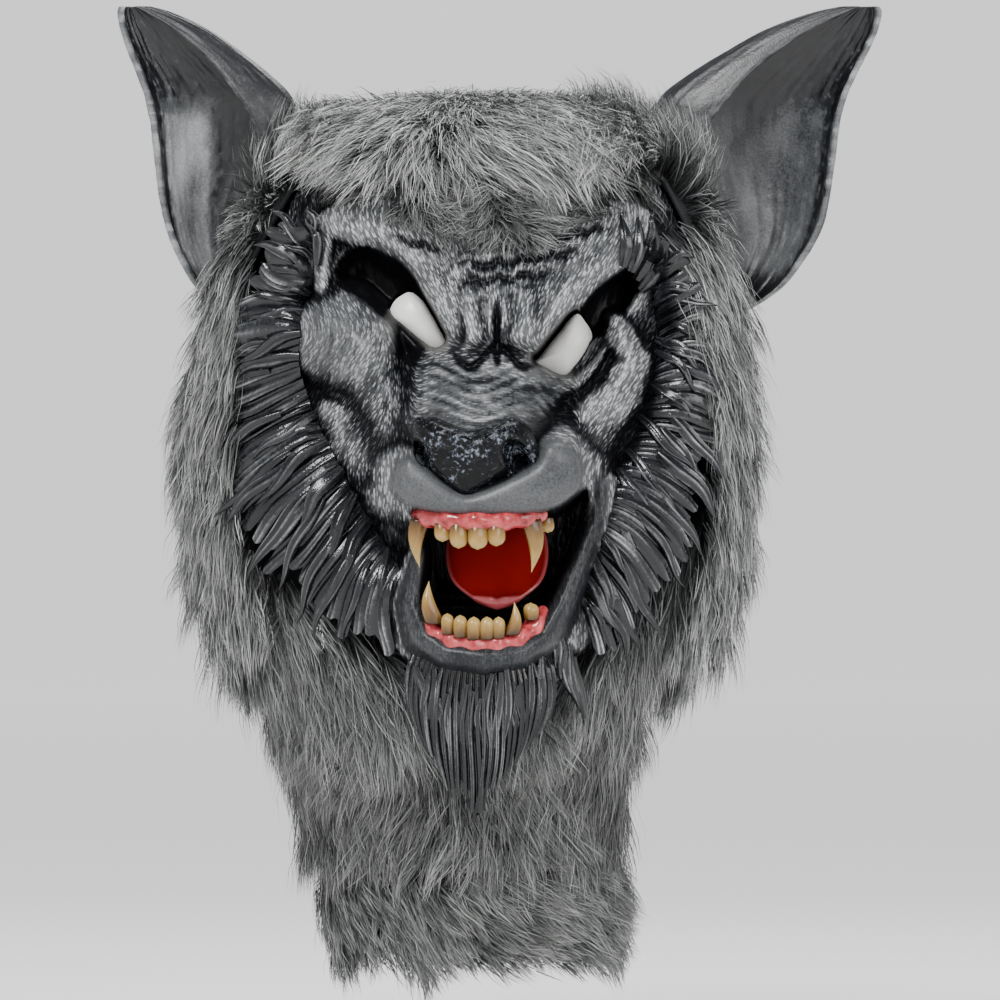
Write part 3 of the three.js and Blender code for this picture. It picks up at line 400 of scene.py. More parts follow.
def latexMaterial(name, light=1.0, shine=0.4, brushed=False):
    # black in the recesses, dry-brushed grey on what stands out; "tone" runs 0 to 1, and on the face it also
    # carries painted shade, painted shadows and painted light
    n = Nodes(name)
    fine = n.noise(900.0, 2.0, 0.6)
    patch = n.noise(60.0, 2.0)
    tone = n.math("ADD", n.math("ADD", n.value("tone"), n.swing(fine, 0.35)), n.swing(patch, 0.25))
    height = fine
    if brushed:
        marks, *others = [brushMarks(n, size, shift) for size, shift in look["cells"]]
        for other in others:
            marks = n.math("MAXIMUM", marks, other)
        marks = n.math("MULTIPLY", marks, n.value("brush"))
        tone = n.math("ADD", tone, n.math("MULTIPLY", n.math("SUBTRACT", marks, 0.2), look["stroke"]))
        height = n.math("ADD", n.math("MULTIPLY", fine, 0.3), marks)
    tone = n.math("MAXIMUM", n.math("MINIMUM", tone, 1.0), 0.0)
    pale = tuple(c * light for c in look["pale"])
    colour = n.ramp(tone, (0.0, look["black"]), (0.28, look["deep"]), (0.58, look["grey"]), (1.0, pale))
    rough = n.math("ADD", n.math("MULTIPLY", tone, 0.2), shine - 0.1)
    if brushed:
        n.feed(n.shader, "Specular_IOR_Level", n.math("ADD", n.math("MULTIPLY", tone, 0.7), 0.08))
    return n.finish(colour, rough, height, 0.5 if brushed else 0.25, 0.0005)


def noseMaterial():
    # black gloss with bluish speckles
    n = Nodes("noseBlack")
    speck = n.noise(520.0, 5.0, 0.65)
    colour = n.ramp(n.math("ADD", speck, n.swing(n.noise(70.0, 2.0), 0.5)),
                    (0.48, (0.0015, 0.0017, 0.002)), (0.57, (0.008, 0.009, 0.012)), (0.7, (0.17, 0.19, 0.23)))
    return n.finish(colour, 0.22, speck, 0.35, 0.0006, Specular_IOR_Level=0.2)


def tongueMaterial():
    # "tone" is high on the rim, which is painted a paler pink as a painted highlight; where tone is low, in
    # the middle, the red is painted brighter as painted light showing through
    n = Nodes("tongueRed")
    colour = n.ramp(n.value("tone"), (0.0, (0.24, 0.008, 0.005)), (0.6, (0.15, 0.004, 0.003)),
                    (1.0, (0.36, 0.06, 0.07)))
    return n.finish(colour, 0.09, n.noise(60.0), 0.45, 0.002)


def clothMaterial():
    n = Nodes("darkCloth")
    spots = n.noise(900.0)
    colour = n.ramp(spots, (0.3, (0.018, 0.0192, 0.0204)), (0.7, (0.03, 0.032, 0.034)))
    return n.finish(colour, 0.9, spots, 0.4, 0.0006)


def gumMaterial():
    n = Nodes("gumPink")
    patch = n.noise(220.0, 4.0)
    colour = n.ramp(patch, (0.3, (0.16, 0.01, 0.01)), (0.5, (0.42, 0.045, 0.05)), (0.75, (0.6, 0.12, 0.12)))
    return n.finish(colour, 0.12, patch, 0.4, 0.0008)


def toothMaterial():
    # brown at the root, ivory at the tip; "along" runs from root to tip
    n = Nodes("toothIvory")
    stain = n.noise(300.0, 4.0, stretch=(1, 1, 0.3))
    at = n.math("ADD", n.value("along"), n.swing(stain, 0.5), True)
    colour = n.ramp(at, (0.0, (0.04, 0.016, 0.003)), (0.3, (0.16, 0.08, 0.018)), (0.6, (0.3, 0.175, 0.042)),
                    (1.0, (0.46, 0.32, 0.11)))
    return n.finish(colour, 0.22, stain, 0.25, 0.0005)


def furMaterial():
    # "along" runs from root to tip, "shade" varies from strand to strand; the near-black roots are painted
    # shade deep in the pile, and the paler tips are the fur's own
    n = Nodes("greyFur")
    colour = n.ramp(n.value("along"), (0.0, (0.01, 0.01, 0.011)), (0.3, (0.05, 0.052, 0.053)),
                    (0.65, (0.22, 0.228, 0.222)), (1.0, (0.62, 0.63, 0.61)))
    shade = n.put("HueSaturation", Color=colour, Value=n.value("shade"), Saturation=1.0).outputs["Color"]
    return n.finish(shade, 0.42)


latexGrey = latexMaterial("latexGrey", brushed=True)
latexLiner = latexMaterial("latexLiner")
latexHair = latexMaterial("latexHair", shine=0.22)
latexEar = latexMaterial("latexEar", 0.85, 0.42)
eyeWhite = Nodes("eyeWhite").finish((0.93, 0.92, 0.88, 1), 0.3)
noseBlack = noseMaterial()
tongueRed = tongueMaterial()
darkCloth = clothMaterial()
gumPink = gumMaterial()
toothIvory = toothMaterial()
greyFur = furMaterial()
print("stage: materials")

# Face
face = {"columns": 285, "rows": 310, "edge": 0.985, "top": 14, "stroke": 0.45, "roll": 15, "rollDeep": 8,
        "hole": -0.34, "lobes": 8, "crease": 7.8}

brow = [[-0.728, 0.177], [-0.376, 0.147], [0.047, 0.14], [0.469, 0.155], [0.775, 0.173],
        [0.808, 0.254], [0.667, 0.291], [0.545, 0.326], [0.423, 0.383], [0.329, 0.434],
        [0.221, 0.456], [0.08, 0.449], [-0.056, 0.454], [-0.136, 0.427], [-0.197, 0.379],
        [-0.263, 0.328], [-0.357, 0.28], [-0.479, 0.25], [-0.629, 0.239], [-0.742, 0.221]]
upperLip = [[-0.385, 0.651], [-0.329, 0.631], [-0.263, 0.651], [-0.169, 0.679], [-0.066, 0.699],
            [0.038, 0.688], [0.164, 0.666], [0.263, 0.644], [0.31, 0.611], [0.385, 0.607],
            [0.451, 0.629], [0.469, 0.666], [0.437, 0.701], [0.338, 0.723], [0.188, 0.732],
            [0.0, 0.736], [-0.188, 0.73], [-0.324, 0.716], [-0.39, 0.69]]
mouth = [[-0.319, 0.725], [-0.141, 0.736], [0.094, 0.738], [0.338, 0.725], [0.498, 0.684],
         [0.507, 0.736], [0.437, 0.81], [0.343, 0.883], [0.263, 0.933], [0.141, 0.96],
         [0.0, 0.968], [-0.16, 0.955], [-0.244, 0.927], [-0.277, 0.883], [-0.263, 0.81], [-0.296, 0.764]]
nose = [[-0.315, 0.559], [-0.263, 0.548], [-0.188, 0.552], [-0.103, 0.565], [-0.019, 0.57],
        [0.07, 0.563], [0.141, 0.55], [0.207, 0.559], [0.258, 0.589], [0.268, 0.629],
        [0.225, 0.653], [0.131, 0.666], [0.038, 0.684], [-0.056, 0.697], [-0.131, 0.69],
        [-0.207, 0.664], [-0.291, 0.638], [-0.31, 0.603]]
browLobes = [
    (6, [[-0.047, 0.35, 0.122, 0.43], [-0.047, 0.41, 0.125, 0.64]]),
    (6, [[0.202, 0.35, 0.122, 0.43], [0.202, 0.41, 0.125, 0.64]]),
    (6, [[-0.695, 0.206, 0.075, 0.16], [-0.742, 0.261, 0.07, 0.19], [-0.742, 0.324, 0.066, 0.17]]),
]
sockets = [
    (-0.3, [[-0.54, 0.295, 0.15, 0], [-0.41, 0.34, 0.2, 0], [-0.27, 0.405, 0.18, 0]]),
    (-0.3, [[0.68, 0.305, 0.1, 0], [0.6, 0.34, 0.12, 0], [0.5, 0.38, 0.12, 0]]),
    (-0.1, [[0.57, 0.42, 0.1, 0], [0.47, 0.46, 0.11, 0]]),
]
eyeHoles = [
    [[-0.408, 0.364], [-0.394, 0.342], [-0.357, 0.329], [-0.319, 0.324], [-0.272, 0.337], [-0.235, 0.359],
     [-0.197, 0.386], [-0.164, 0.414], [-0.188, 0.427], [-0.225, 0.427], [-0.282, 0.41], [-0.352, 0.386]],
    [[0.451, 0.364], [0.479, 0.375], [0.512, 0.397], [0.502, 0.418], [0.469, 0.442],
     [0.437, 0.46], [0.404, 0.477],
     [0.357, 0.475], [0.305, 0.464], [0.253, 0.451], [0.286, 0.438], [0.333, 0.414],
     [0.376, 0.394], [0.413, 0.375]],
]
cheeksAndMuzzle = [
    (4, [[-0.681, 0.414, 0.244, 0.44], [-0.601, 0.438, 0.235, 0.44]]),
    (20, [[-0.516, 0.475, 0.169, 0.34], [-0.413, 0.552, 0.188, 0.4], [-0.319, 0.644, 0.188, 0.49]]),
    (26, [[-0.676, 0.548, 0.094, 0.19], [-0.601, 0.603, 0.122, 0.24], [-0.469, 0.677, 0.122, 0.29],
         [-0.366, 0.754, 0.103, 0.31]]),
    (11, [[0.63, 0.38, 0.05, 0.14], [0.667, 0.408, 0.085, 0.29], [0.714, 0.456, 0.103, 0.36],
         [0.657, 0.515, 0.127, 0.36], [0.516, 0.57, 0.16, 0.43], [0.446, 0.644, 0.16, 0.51]]),
    (10, [[0.066, 0.467, 0.235, 0.46], [0.028, 0.515, 0.338, 0.67], [-0.009, 0.581, 0.404, 0.83],
          [0.019, 0.67, 0.469, 0.83]]),
    (6, [[0.573, 0.699, 0.085, 0.37], [0.526, 0.828, 0.103, 0.37], [0.413, 0.957, 0.122, 0.4]]),
    (8, [[-0.14, 0.98, 0.2, 0.6], [0.19, 0.98, 0.2, 0.6]]),
]
lowerLip = [[-0.23, 0.75, 0.08, 0.51], [-0.28, 0.82, 0.09, 0.56], [-0.32, 0.9, 0.11, 0.65],
            [-0.27, 0.96, 0.13, 0.72], [-0.16, 0.99, 0.14, 0.77], [0.02, 1.0, 0.15, 0.8],
            [0.19, 0.99, 0.14, 0.77], [0.31, 0.96, 0.13, 0.7], [0.39, 0.9, 0.11, 0.64],
            [0.47, 0.82, 0.1, 0.56], [0.54, 0.75, 0.09, 0.5], [0.57, 0.68, 0.09, 0.46]]
lids = [
    (2, [[-0.56, 0.325, 0.04, -0.02], [-0.42, 0.38, 0.06, -0.05],
         [-0.27, 0.445, 0.07, 0.0], [-0.16, 0.46, 0.05, 0.1]]),
    (4, [[0.62, 0.41, 0.03, 0.02], [0.55, 0.46, 0.04, 0.05],
         [0.46, 0.5, 0.05, 0.12], [0.36, 0.51, 0.06, 0.2]]),
]


def faceRelief(x, drop):
    # how far the skin stands in front of the plain head
    height = np.zeros(x.shape)
    for soft, rows in browLobes:
        height = blendUp(height, formHeight(rows, x, drop), soft)
    for low, rows in sockets:
        floor = low * head["reach"]
        rise = -formHeight(rows, x, drop, 4, 32)
        height = blendDown(height, floor + np.maximum(0, rise), 4)
    u, v = x / head["half"], drop / head["faceDrop"]
    middle = np.exp(-((u - 0.08) / 0.33) ** 2) * ease(v, 0.22, 0.41)
    lift = 0.16 + 0.27 * middle + 0.06 * ease(v, 0.14, 0.22)
    inside = np.clip(-outlineDistance(brow, x, drop) / face["roll"], 0, 1)
    roll = face["rollDeep"] * (np.sqrt(1 - (1 - inside) ** 2) - 1) * ease(v, 0.2, 0.26)
    height = blendUp(height, slabHeight(brow, x, drop, lift * head["reach"], 5) + roll, 3)
    for soft, rows in lids:
        height = blendUp(height, formHeight(rows, x, drop, 2, 12), soft)
    for soft, rows in cheeksAndMuzzle:
        height = blendUp(height, formHeight(rows, x, drop), soft)
    height = blendUp(height, slabHeight(upperLip, x, drop, 0.97 * head["reach"]), 3)
    height = blendUp(height, formHeight(lowerLip, x, drop), 3)
    wall = np.clip(1 + outlineDistance(mouth, x, drop) / 3.2, 0, 3)
    height = blendDown(height, (0.04 + wall) * head["reach"], 4)
    for outline in eyeHoles:
        rise = np.clip(outlineDistance(outline, x, drop) / 1.6, -2, 40)
        height = np.minimum(height, face["hole"] * head["reach"] + np.maximum(0, 34 * rise))
    return height


# drop, from and to across, and slope of each dark fold on the forehead
foreheadFolds = [[63, 2, 62, 0.2], [70, -6, 48, 0.16], [77, -12, 36, 0.1], [70, -44, -14, -0.25]]


def foldLines(x, z):
    # dark wavy lines over the brow
    total = np.zeros(x.shape)
    for drop, low, high, slope in foreheadFolds:
        line = drop - slope * (x - face["lobes"]) + 0.9 * np.sin(x * 0.55) + 0.5 * np.sin(x * 1.3)
        total = np.maximum(total, hump(z, line, 1.5) * band(x, low, low + 10, high - 10, high))
    return total


def lobeShadow(x, z):
    # the painted shadow line under the two lobes between the brows, also cut into the skin as a groove
    line = 111.5 - 4.5 * np.cos((x - face["lobes"]) * np.pi / 12.4)
    return hump(z, line + 1.2, 1.7) * hump(x, face["lobes"], 20, 4)


def wrinkles(u, v):
    # folds over the muzzle, the crease between the brows and the lines of the forehead
    x, z = u * head["half"], v * head["faceDrop"]
    bend = 4.1 * np.cos(2 * np.pi * u / 0.488) * hump(u, 0, 0.42, 4)
    bend = bend + 0.75 * np.maximum(0, x - 24) + 0.9 * np.maximum(0, -24 - x)
    folds = np.abs(np.sin(np.pi * (z - bend) / 5.2)) ** 0.7 - 0.5
    folds = folds * band(z - bend, 111, 118, 136, 142) * band(u, -0.36, -0.22, 0.36, 0.56)
    folds = folds * (0.8 + 0.35 * np.sin(x * 0.11 + z * 0.5) + 0.2 * np.sin(x * 0.31 - z))
    crease = hump(x, face["crease"], 1.3) * band(z, 84, 98, 112, 118)
    bow = 4 * np.cos(u * 4) + 2 * np.sin(x * 0.13 + z * 0.21)
    bow = bow + 1.6 * np.sin(x * 0.37 - z * 0.12) + 0.8 * np.sin(x * 0.9)
    lines = np.abs(np.sin(np.pi * (z + bow) / 7.5)) ** 0.45 - 0.5
    lines = lines * hump(u, 0.1, 0.36) * band(z, 56, 62, 82, 92) * (0.6 + 0.5 * np.sin(x * 0.21 + z * 0.3))
    ridge = np.sin(2 * np.pi * (x - 0.12 * z) / 4.2) * ease(u, 0.5, 0.56) * band(z, 150, 165, 232, 245)
    return 4.4 * folds - 7 * crease + 3.6 * lines + 0.9 * ridge - 6 * lobeShadow(x, z) - 3 * foldLines(x, z)


def flowField(u, v):
    # direction of the brushed strokes, as across and down
    z, upright = v * head["faceDrop"], math.pi / 2
    beside = ease(np.abs(u), 0.4, 0.5)
    angle = mix(upright, upright + 0.5 * np.clip((u - 0.08) / 0.3, -1, 1), band(z, 44, 56, 104, 118))
    angle = mix(angle, upright + 0.6, band(z, 90, 110, 150, 170) * beside)
    angle = mix(angle, 0.25 * np.sin(6 * u),
                band(z, 100, 112, 150, 160) * (1 - beside) * (1 - ease(-u, 0.25, 0.35)))
    return np.cos(angle), np.sin(angle)


def buildFace():
    share, drop = np.meshgrid(np.linspace(-face["edge"], face["edge"], face["columns"]),
                              np.linspace(face["top"], head["height"], face["rows"]))
    x = share * sectionAt(shellRows, drop)[..., 1] * head["half"] * domeShare(drop)
    u, v = x / head["half"], drop / head["faceDrop"]
    height = faceRelief(x, drop) + wrinkles(u, v)
    across, down = flowField(u, v)
    strokes = smear(rng.standard_normal(x.shape), down, across, 3)
    broad = smear(blur(rng.standard_normal(x.shape), 1.5), down, across, 5)
    # the lips are calm, without strokes
    lip = 1 - ease(outlineDistance(upperLip, x, drop), -2, 5)
    lower = ease(formHeight(lowerLip, x, drop), 24, 34) * (height < 62)
    calm = np.maximum(lip * 0.95, lower * 0.75)
    height = height + (1 - calm) * face["stroke"] * (0.4 * strokes + 0.35 * broad)
    height = mix(blur(height, 1.0), height, 0.5)
    verts = np.stack([x, frontY(x, drop) - height, head["wall"] - drop], -1)
    # paint: dark in the small hollows and light on what stands out, as on the dry-brushed mask; the broad
    # forms add painted shade in the broad hollows and painted light on the broad bulges
    cavity, wide = height - blur(height, 5), height - blur(height, 18)
    dash = np.clip(strokes, -1.2, 2.2) * 0.6 + 0.5 * np.clip(broad, -1.5, 2)
    # the wide term is painted shade and painted light of the broad forms
    tone = 0.35 + 0.13 * np.clip(cavity, -3.5, 2) + 0.014 * np.clip(wide, -16, 6) + (1 - calm) * 0.07 * dash
    # the lower lip gets a darker tone: painted shadow
    tone = mix(tone, 0.46 - 0.28 * lower + 0.06 * np.clip(cavity, -3, 2), calm)
    ball = hump(x, -67, 20) * hump(drop, 104, 20, 4)
    # painted shadow under the two brow lobes
    shadeUnderLobes = lobeShadow(x, drop) + 0.12 * hump(drop, 109, 6) * hump(x, face["lobes"], 20, 4)
    # painted shade in the crease between the brows
    crease = hump(x, face["crease"], 1.2) * band(drop, 84, 96, 113, 118)
    tone = tone - 0.02 * ball - 0.5 * shadeUnderLobes - 0.6 * crease - 0.4 * foldLines(x, drop)
    tone = tone - 0.6 * (1 - ease(outlineDistance(mouth, x, drop), -2, 1))
    # painted shade deep in the eye sockets
    deep = np.max([ease(formHeight(rows, x, drop), -14, -3) for low, rows in sockets[:2]], axis=0)
    # painted shadow round the eye holes
    rim = np.max([1 - ease(outlineDistance(outline, x, drop), 0.8, 2.2) for outline in eyeHoles], axis=0)
    tone = tone - 0.5 * deep * (height < 4) - 0.9 * rim
    brush = (1 - calm) * (1 - np.maximum(deep * (height < 8), rim)) * (1 - 0.5 * ball)
    brush = brush * (1 - 0.6 * band(u, -0.3, -0.2, 0.3, 0.4) * ease(drop, 112, 120))
    looks = {"tone": np.clip(tone, 0, 1), "flowX": across, "flowZ": -down, "brush": brush}
    return verts.reshape(-1, 3), [gridFaces(face["rows"], face["columns"])], looks


makePiece("faceSkin", buildFace(), latexGrey, "latex_head")

# The rest of the hollow head: the outside behind the face skin, the inner wall and the lower rim
liner = {"columns": 96, "crownRows": 8, "rows": 48, "sunk": 1.8, "tone": 0.3}


def buildLiner():
    angles = np.linspace(-180, 180, liner["columns"] + 1)[:-1]
    drops = np.concatenate([np.linspace(1, 30, liner["crownRows"]),
                            np.linspace(36, head["height"], liner["rows"])])
    a, d = np.meshgrid(angles, drops)
    lift = np.where(np.abs(a) < 88, faceRelief(headPoint(a, d, 0)[..., 0], d), 0)
    near = (-2, -1, 0, 1, 2)
    lowest = np.min([np.roll(lift, (i, j), (0, 1)) for i in near for j in near], axis=0)
    back = np.stack([0 * a, np.where(np.abs(a) < 82, liner["sunk"], 0.0) - lowest, 0 * a], -1)
    walls = [(headPoint(a, d, outset) + back).reshape(-1, 3) for outset in (0, -head["wall"])]
    verts = np.concatenate([*walls, [[0, 0, head["wall"]], [0, 0, 0]]])
    rows, cols = a.shape
    n, last, ring = rows * cols, (rows - 1) * cols, np.arange(cols)
    nxt = np.roll(ring, -1)
    rim = np.stack([last + ring, last + nxt, n + last + nxt, n + last + ring], -1)
    faces = [gridFaces(rows, cols, True), gridFaces(rows, cols, True, n)[:, ::-1],
             capFaces(2 * n, ring, True), capFaces(2 * n + 1, n + ring), rim]
    return verts, faces, {"tone": np.full(len(verts), liner["tone"])}


makePiece("headLiner", buildLiner(), latexLiner, "latex_head")
print("stage: face")

# Eyes: domed white inserts deep in the sockets
eye = {"dome": 8, "seat": -0.22, "over": 1.1, "rings": 10, "sides": 48}


def buildEye(outline):
    edge = curveThrough(onFace(outline), eye["sides"], True)
    across, down = edge.mean(0)
    r = np.linspace(0, 1, eye["rings"] + 1)[1:, None]
    x = across + (edge[:, 0] - across) * eye["over"] * r
    z = down + (edge[:, 1] - down) * eye["over"] * r
    base = facePoint(across / head["half"], down / head["faceDrop"], eye["seat"])[1]
    y = base - eye["dome"] * np.sqrt(1 - r * r * 0.98) + 0 * x
    verts = np.concatenate([np.stack([x, y, -z], -1).reshape(-1, 3), [[across, base - eye["dome"], -down]]])
    return verts, [gridFaces(eye["rings"], eye["sides"], True),
                   capFaces(len(verts) - 1, np.arange(eye["sides"]), True)]


for node, outline in zip(("eye_left", "eye_right"), eyeHoles):
    makePiece(node + "_lens", buildEye(outline), eyeWhite, node)

# Nose pad: a glossy dome inside its outline, with a groove down the middle and two nostrils.
# Slits are (line, half width, depth), holes (across, down, half width, half height, depth)
noseForm = {"rings": 50, "sides": 130, "edge": 0.76, "top": 1.0, "foot": 0.3,
            "slits": [([[-0.29, 0.6], [-0.262, 0.625], [-0.2, 0.66], [-0.12, 0.69]], 2.0, 6.5),
                      ([[0.19, 0.628], [0.12, 0.655], [0.0, 0.685]], 1.9, 5.0)],
            "holes": [(-0.268, 0.614, 3.6, 5.2, 9), (0.178, 0.625, 5.4, 7.4, 13)]}


def buildNose():
    edge = curveThrough(onFace(nose), noseForm["sides"], True)
    across, down = edge.mean(0)
    r = np.linspace(0.02, 1, noseForm["rings"])[:, None]
    x = across + (edge[:, 0] - across) * r
    z = down + (edge[:, 1] - down) * r
    height = head["reach"] * mix(noseForm["edge"], noseForm["top"], (1 - r ** 3.2) ** 0.5)
    height = height - 1.6 * hump(x, across + 1, 1.8) * ease(z, down - 4, down + 12)
    for line, wide, deep in noseForm["slits"]:
        near = np.min([np.hypot(x - a, z - b) for a, b in curveThrough(onFace(line), 24)], axis=0)
        height = height - deep * hump(near, 0, wide) + 1.1 * hump(near, 3.6, 1.5)
    for holeAcross, holeDown, wide, tall, deep in noseForm["holes"]:
        below = z - holeDown * head["faceDrop"]
        away = np.hypot((x - holeAcross * head["half"] - 0.35 * below) / wide, below / tall)
        height = height - deep * hump(away, 0, 1, 4)
    height = height + 2.2 * hump(np.abs(x - across), 14, 7) * hump(z, down - 9, 6) * (1 - r ** 2)
    base = frontY(across, down)
    skirt = np.stack([x[-1], np.full(x.shape[1], base - noseForm["foot"] * head["reach"]), -z[-1]], -1)
    verts = np.concatenate([np.stack([x, base - height, -z], -1).reshape(-1, 3), skirt,
                            [[across, base - height[0].mean(), -down]]])
    rings, ring = noseForm["rings"] + 1, np.arange(noseForm["sides"])
    return verts, [gridFaces(rings, len(ring), True), capFaces(len(verts) - 1, ring, True)]


makePiece("nosePadGloss", buildNose(), noseBlack, "nose_pad")

# Gums, teeth and tongue
upperGum = [[-0.3, 0.722, 0.6], [-0.225, 0.731, 0.76], [-0.094, 0.736, 0.86], [0.047, 0.737, 0.88],
            [0.188, 0.733, 0.82], [0.305, 0.725, 0.68]]
lowerGum = [[-0.24, 0.9, 0.54], [-0.225, 0.93, 0.58], [-0.135, 0.955, 0.63], [0.01, 0.963, 0.65],
            [0.155, 0.955, 0.63], [0.245, 0.93, 0.57], [0.3, 0.9, 0.5]]
# a row is root across, down, lift, tip across, down, lift, width, bluntness
teeth = {
    "upper_canine_left": [-0.275, 0.733, 0.72, -0.277, 0.82, 0.72, 8.6, 0.2],
    "upper_incisor_1": [-0.174, 0.738, 0.82, -0.171, 0.774, 0.84, 6.8, 0.75],
    "upper_incisor_2": [-0.099, 0.741, 0.86, -0.097, 0.786, 0.88, 7.6, 0.75],
    "upper_incisor_3": [-0.011, 0.741, 0.88, -0.009, 0.788, 0.9, 8.2, 0.75],
    "upper_incisor_4": [0.074, 0.74, 0.87, 0.076, 0.782, 0.89, 7.4, 0.75],
    "upper_canine_right": [0.232, 0.734, 0.79, 0.239, 0.829, 0.76, 9.0, 0.2],
    "upper_molar": [0.31, 0.731, 0.66, 0.314, 0.758, 0.66, 5.5, 0.7],
    "lower_canine_left": [-0.205, 0.924, 0.64, -0.235, 0.847, 0.64, 8.6, 0.35],
    "lower_incisor_1": [-0.148, 0.943, 0.69, -0.15, 0.905, 0.68, 5.4, 0.75],
    "lower_incisor_2": [-0.092, 0.949, 0.7, -0.09, 0.908, 0.69, 5.8, 0.75],
    "lower_incisor_3": [-0.03, 0.953, 0.7, -0.028, 0.911, 0.7, 6.0, 0.75],
    "lower_incisor_4": [0.031, 0.953, 0.7, 0.033, 0.911, 0.7, 6.0, 0.75],
    "lower_incisor_5": [0.086, 0.951, 0.7, 0.087, 0.911, 0.69, 5.4, 0.75],
    "lower_canine_right": [0.143, 0.944, 0.68, 0.16, 0.885, 0.67, 7.0, 0.3],
    "lower_molar": [0.238, 0.917, 0.62, 0.235, 0.886, 0.61, 6.4, 0.7],
}


def buildGum(rows, thick, bumps):
    steps, sides = 90, 20
    path = curveThrough([facePoint(*row) for row in rows], steps)
    along = np.linspace(0, 1, steps)
    tangent = unit(np.gradient(path, axis=0))
    out = unit(np.stack([tangent[:, 1], -tangent[:, 0], 0 * along], -1))
    t = turns(sides)[:, None]
    size = thick / 2 * np.minimum(1, np.sqrt(np.clip(1 - (2 * along - 1) ** 8, 0.02, 1)))
    size = size * (1 + 0.13 * np.cos(along * 2 * np.pi * bumps))
    ring = path[:, None] + size[:, None, None] * (np.cos(t) * out[:, None] + np.sin(t) * np.array([0, 0, 1]))
    return np.concatenate([ring.reshape(-1, 3), path[:1], path[-1:]]), tubeFaces(steps, sides)


makePiece("upperGumGloss", buildGum(upperGum, 9, 6), gumPink, "upper_gum")
makePiece("lowerGumGloss", buildGum(lowerGum, 12, 7), gumPink, "lower_gum")


def buildTooth(row):
    root, tip, wide, pointed = facePoint(*row[:3]), facePoint(*row[3:6]), row[6], row[7] < 0.5
    steps, sides = 18, 20
    along = tip - root
    length = np.linalg.norm(along)
    share = np.linspace(0, 1, steps)[:, None]
    if pointed:
        scale = np.clip(1 - share ** 1.9, 0.04, 1) * 1.08 * (1 - 0.15 * share)
    else:
        end = np.clip((share - 0.55) / 0.45, 0, 1)
        scale = (1 + 0.12 * np.sin(np.pi * share)) * np.sqrt(1 - end ** 3 * 0.97)
    bow = 0.09 * length * np.sin(np.pi * share)
    t = turns(sides)
    girth = wide * scale * (1 + 0.05 * np.cos(3 * t))
    x = root[0] + along[0] * share + girth / 2 * np.cos(t) + np.sign(row[0]) * bow * pointed
    y = root[1] + along[1] * share - bow + 0.42 * girth * np.sin(t)
    z = root[2] + along[2] * share + 0 * t
    point = tip + (0, 0, -0.3 if along[2] < 0 else 0.3)
    verts = np.concatenate([np.stack([x, y, z], -1).reshape(-1, 3), [root, point]])
    return verts, tubeFaces(steps, sides), {"along": np.concatenate([np.repeat(share, sides), [0, 1]])}


for node, row in teeth.items():
    makePiece(node + "_enamel", buildTooth(row), toothIvory, node)

# rows are down, lift and half width as shares
tongueRows = np.array([[0.748, 0.02, 0.21], [0.78, 0.14, 0.235], [0.82, 0.26, 0.235], [0.855, 0.37, 0.2],
                       [0.883, 0.46, 0.11]])
tongueForm = {"steps": 40, "sides": 28, "across": 0.08, "thick": 3.5, "ends": [[0.738, 0.01], [0.898, 0.475]]}


def buildTongue():
    steps, sides, across = tongueForm["steps"], tongueForm["sides"], tongueForm["across"]
    sizes = [head["faceDrop"], head["reach"], head["half"]]
    down, lift, half = (curveThrough(tongueRows * sizes, steps) / sizes).T
    centre = facePoint(np.full(steps, across), down, lift)
    t = turns(sides)
    edge = np.abs(np.cos(t))
    rise = np.sin(t) + (edge ** 2 - 0.5) * 0.9 - 0.35 * hump(np.cos(t), 0, 0.12)
    wide = (half * head["half"])[:, None, None] * np.cos(t)[:, None] * np.array([1, 0, 0])
    ring = centre[:, None] + wide + unit(np.array([0, -1.0, 1.0])) * tongueForm["thick"] * rise[:, None]
    verts = np.concatenate([ring.reshape(-1, 3), [facePoint(across, *end) for end in tongueForm["ends"]]])
    # painted highlight: tone rises along both sides and at the front tip
    rim = np.maximum(edge ** 6, np.linspace(0, 1, steps)[:, None] ** 12)
    return verts, tubeFaces(steps, sides), {"tone": np.concatenate([rim.ravel(), [0, 1]])}


makePiece("tongueGloss", buildTongue(), tongueRed, "tongue")
print("stage: mouth")

# Ears: bent walls open to the front
ear = {"rise": 145, "cup": 28, "wall": 3, "drop": 91, "stand": 3, "front": 12, "curl": 0.45,
       "columns": 84, "rows": 130}
# paint: how light the dark is, how light the pale field is, and where it ends round the wall
ears = {"ear_left": {"side": -1, "reach": 67, "dark": 0.07, "field": 0.7, "from": 0.27, "to": 0.4},
        "ear_right": {"side": 1, "reach": 85, "dark": 0.0, "field": 0.42, "from": 0.42, "to": 0.58}}
# rows are rise, outer edge, back edge, rim and cup as shares
earRows = np.array([
    [0.0, 0.17, -0.22, -0.22, 0.45], [0.057, 0.36, -0.25, -0.25, 0.6], [0.125, 0.5, -0.26, -0.25, 0.75],
    [0.25, 0.64, -0.27, -0.24, 0.95], [0.375, 0.71, -0.27, -0.18, 1.0], [0.5, 0.745, -0.27, -0.06, 1.0],
    [0.63, 0.775, -0.24, 0.055, 0.95], [0.71, 0.81, -0.205, 0.16, 0.85], [0.78, 0.865, -0.06, 0.27, 0.7],
    [0.86, 0.935, 0.16, 0.43, 0.52], [0.93, 0.985, 0.38, 0.62, 0.36], [0.98, 1.0, 0.62, 0.8, 0.24],
    [1.0, 0.985, 0.78, 0.88, 0.18]])


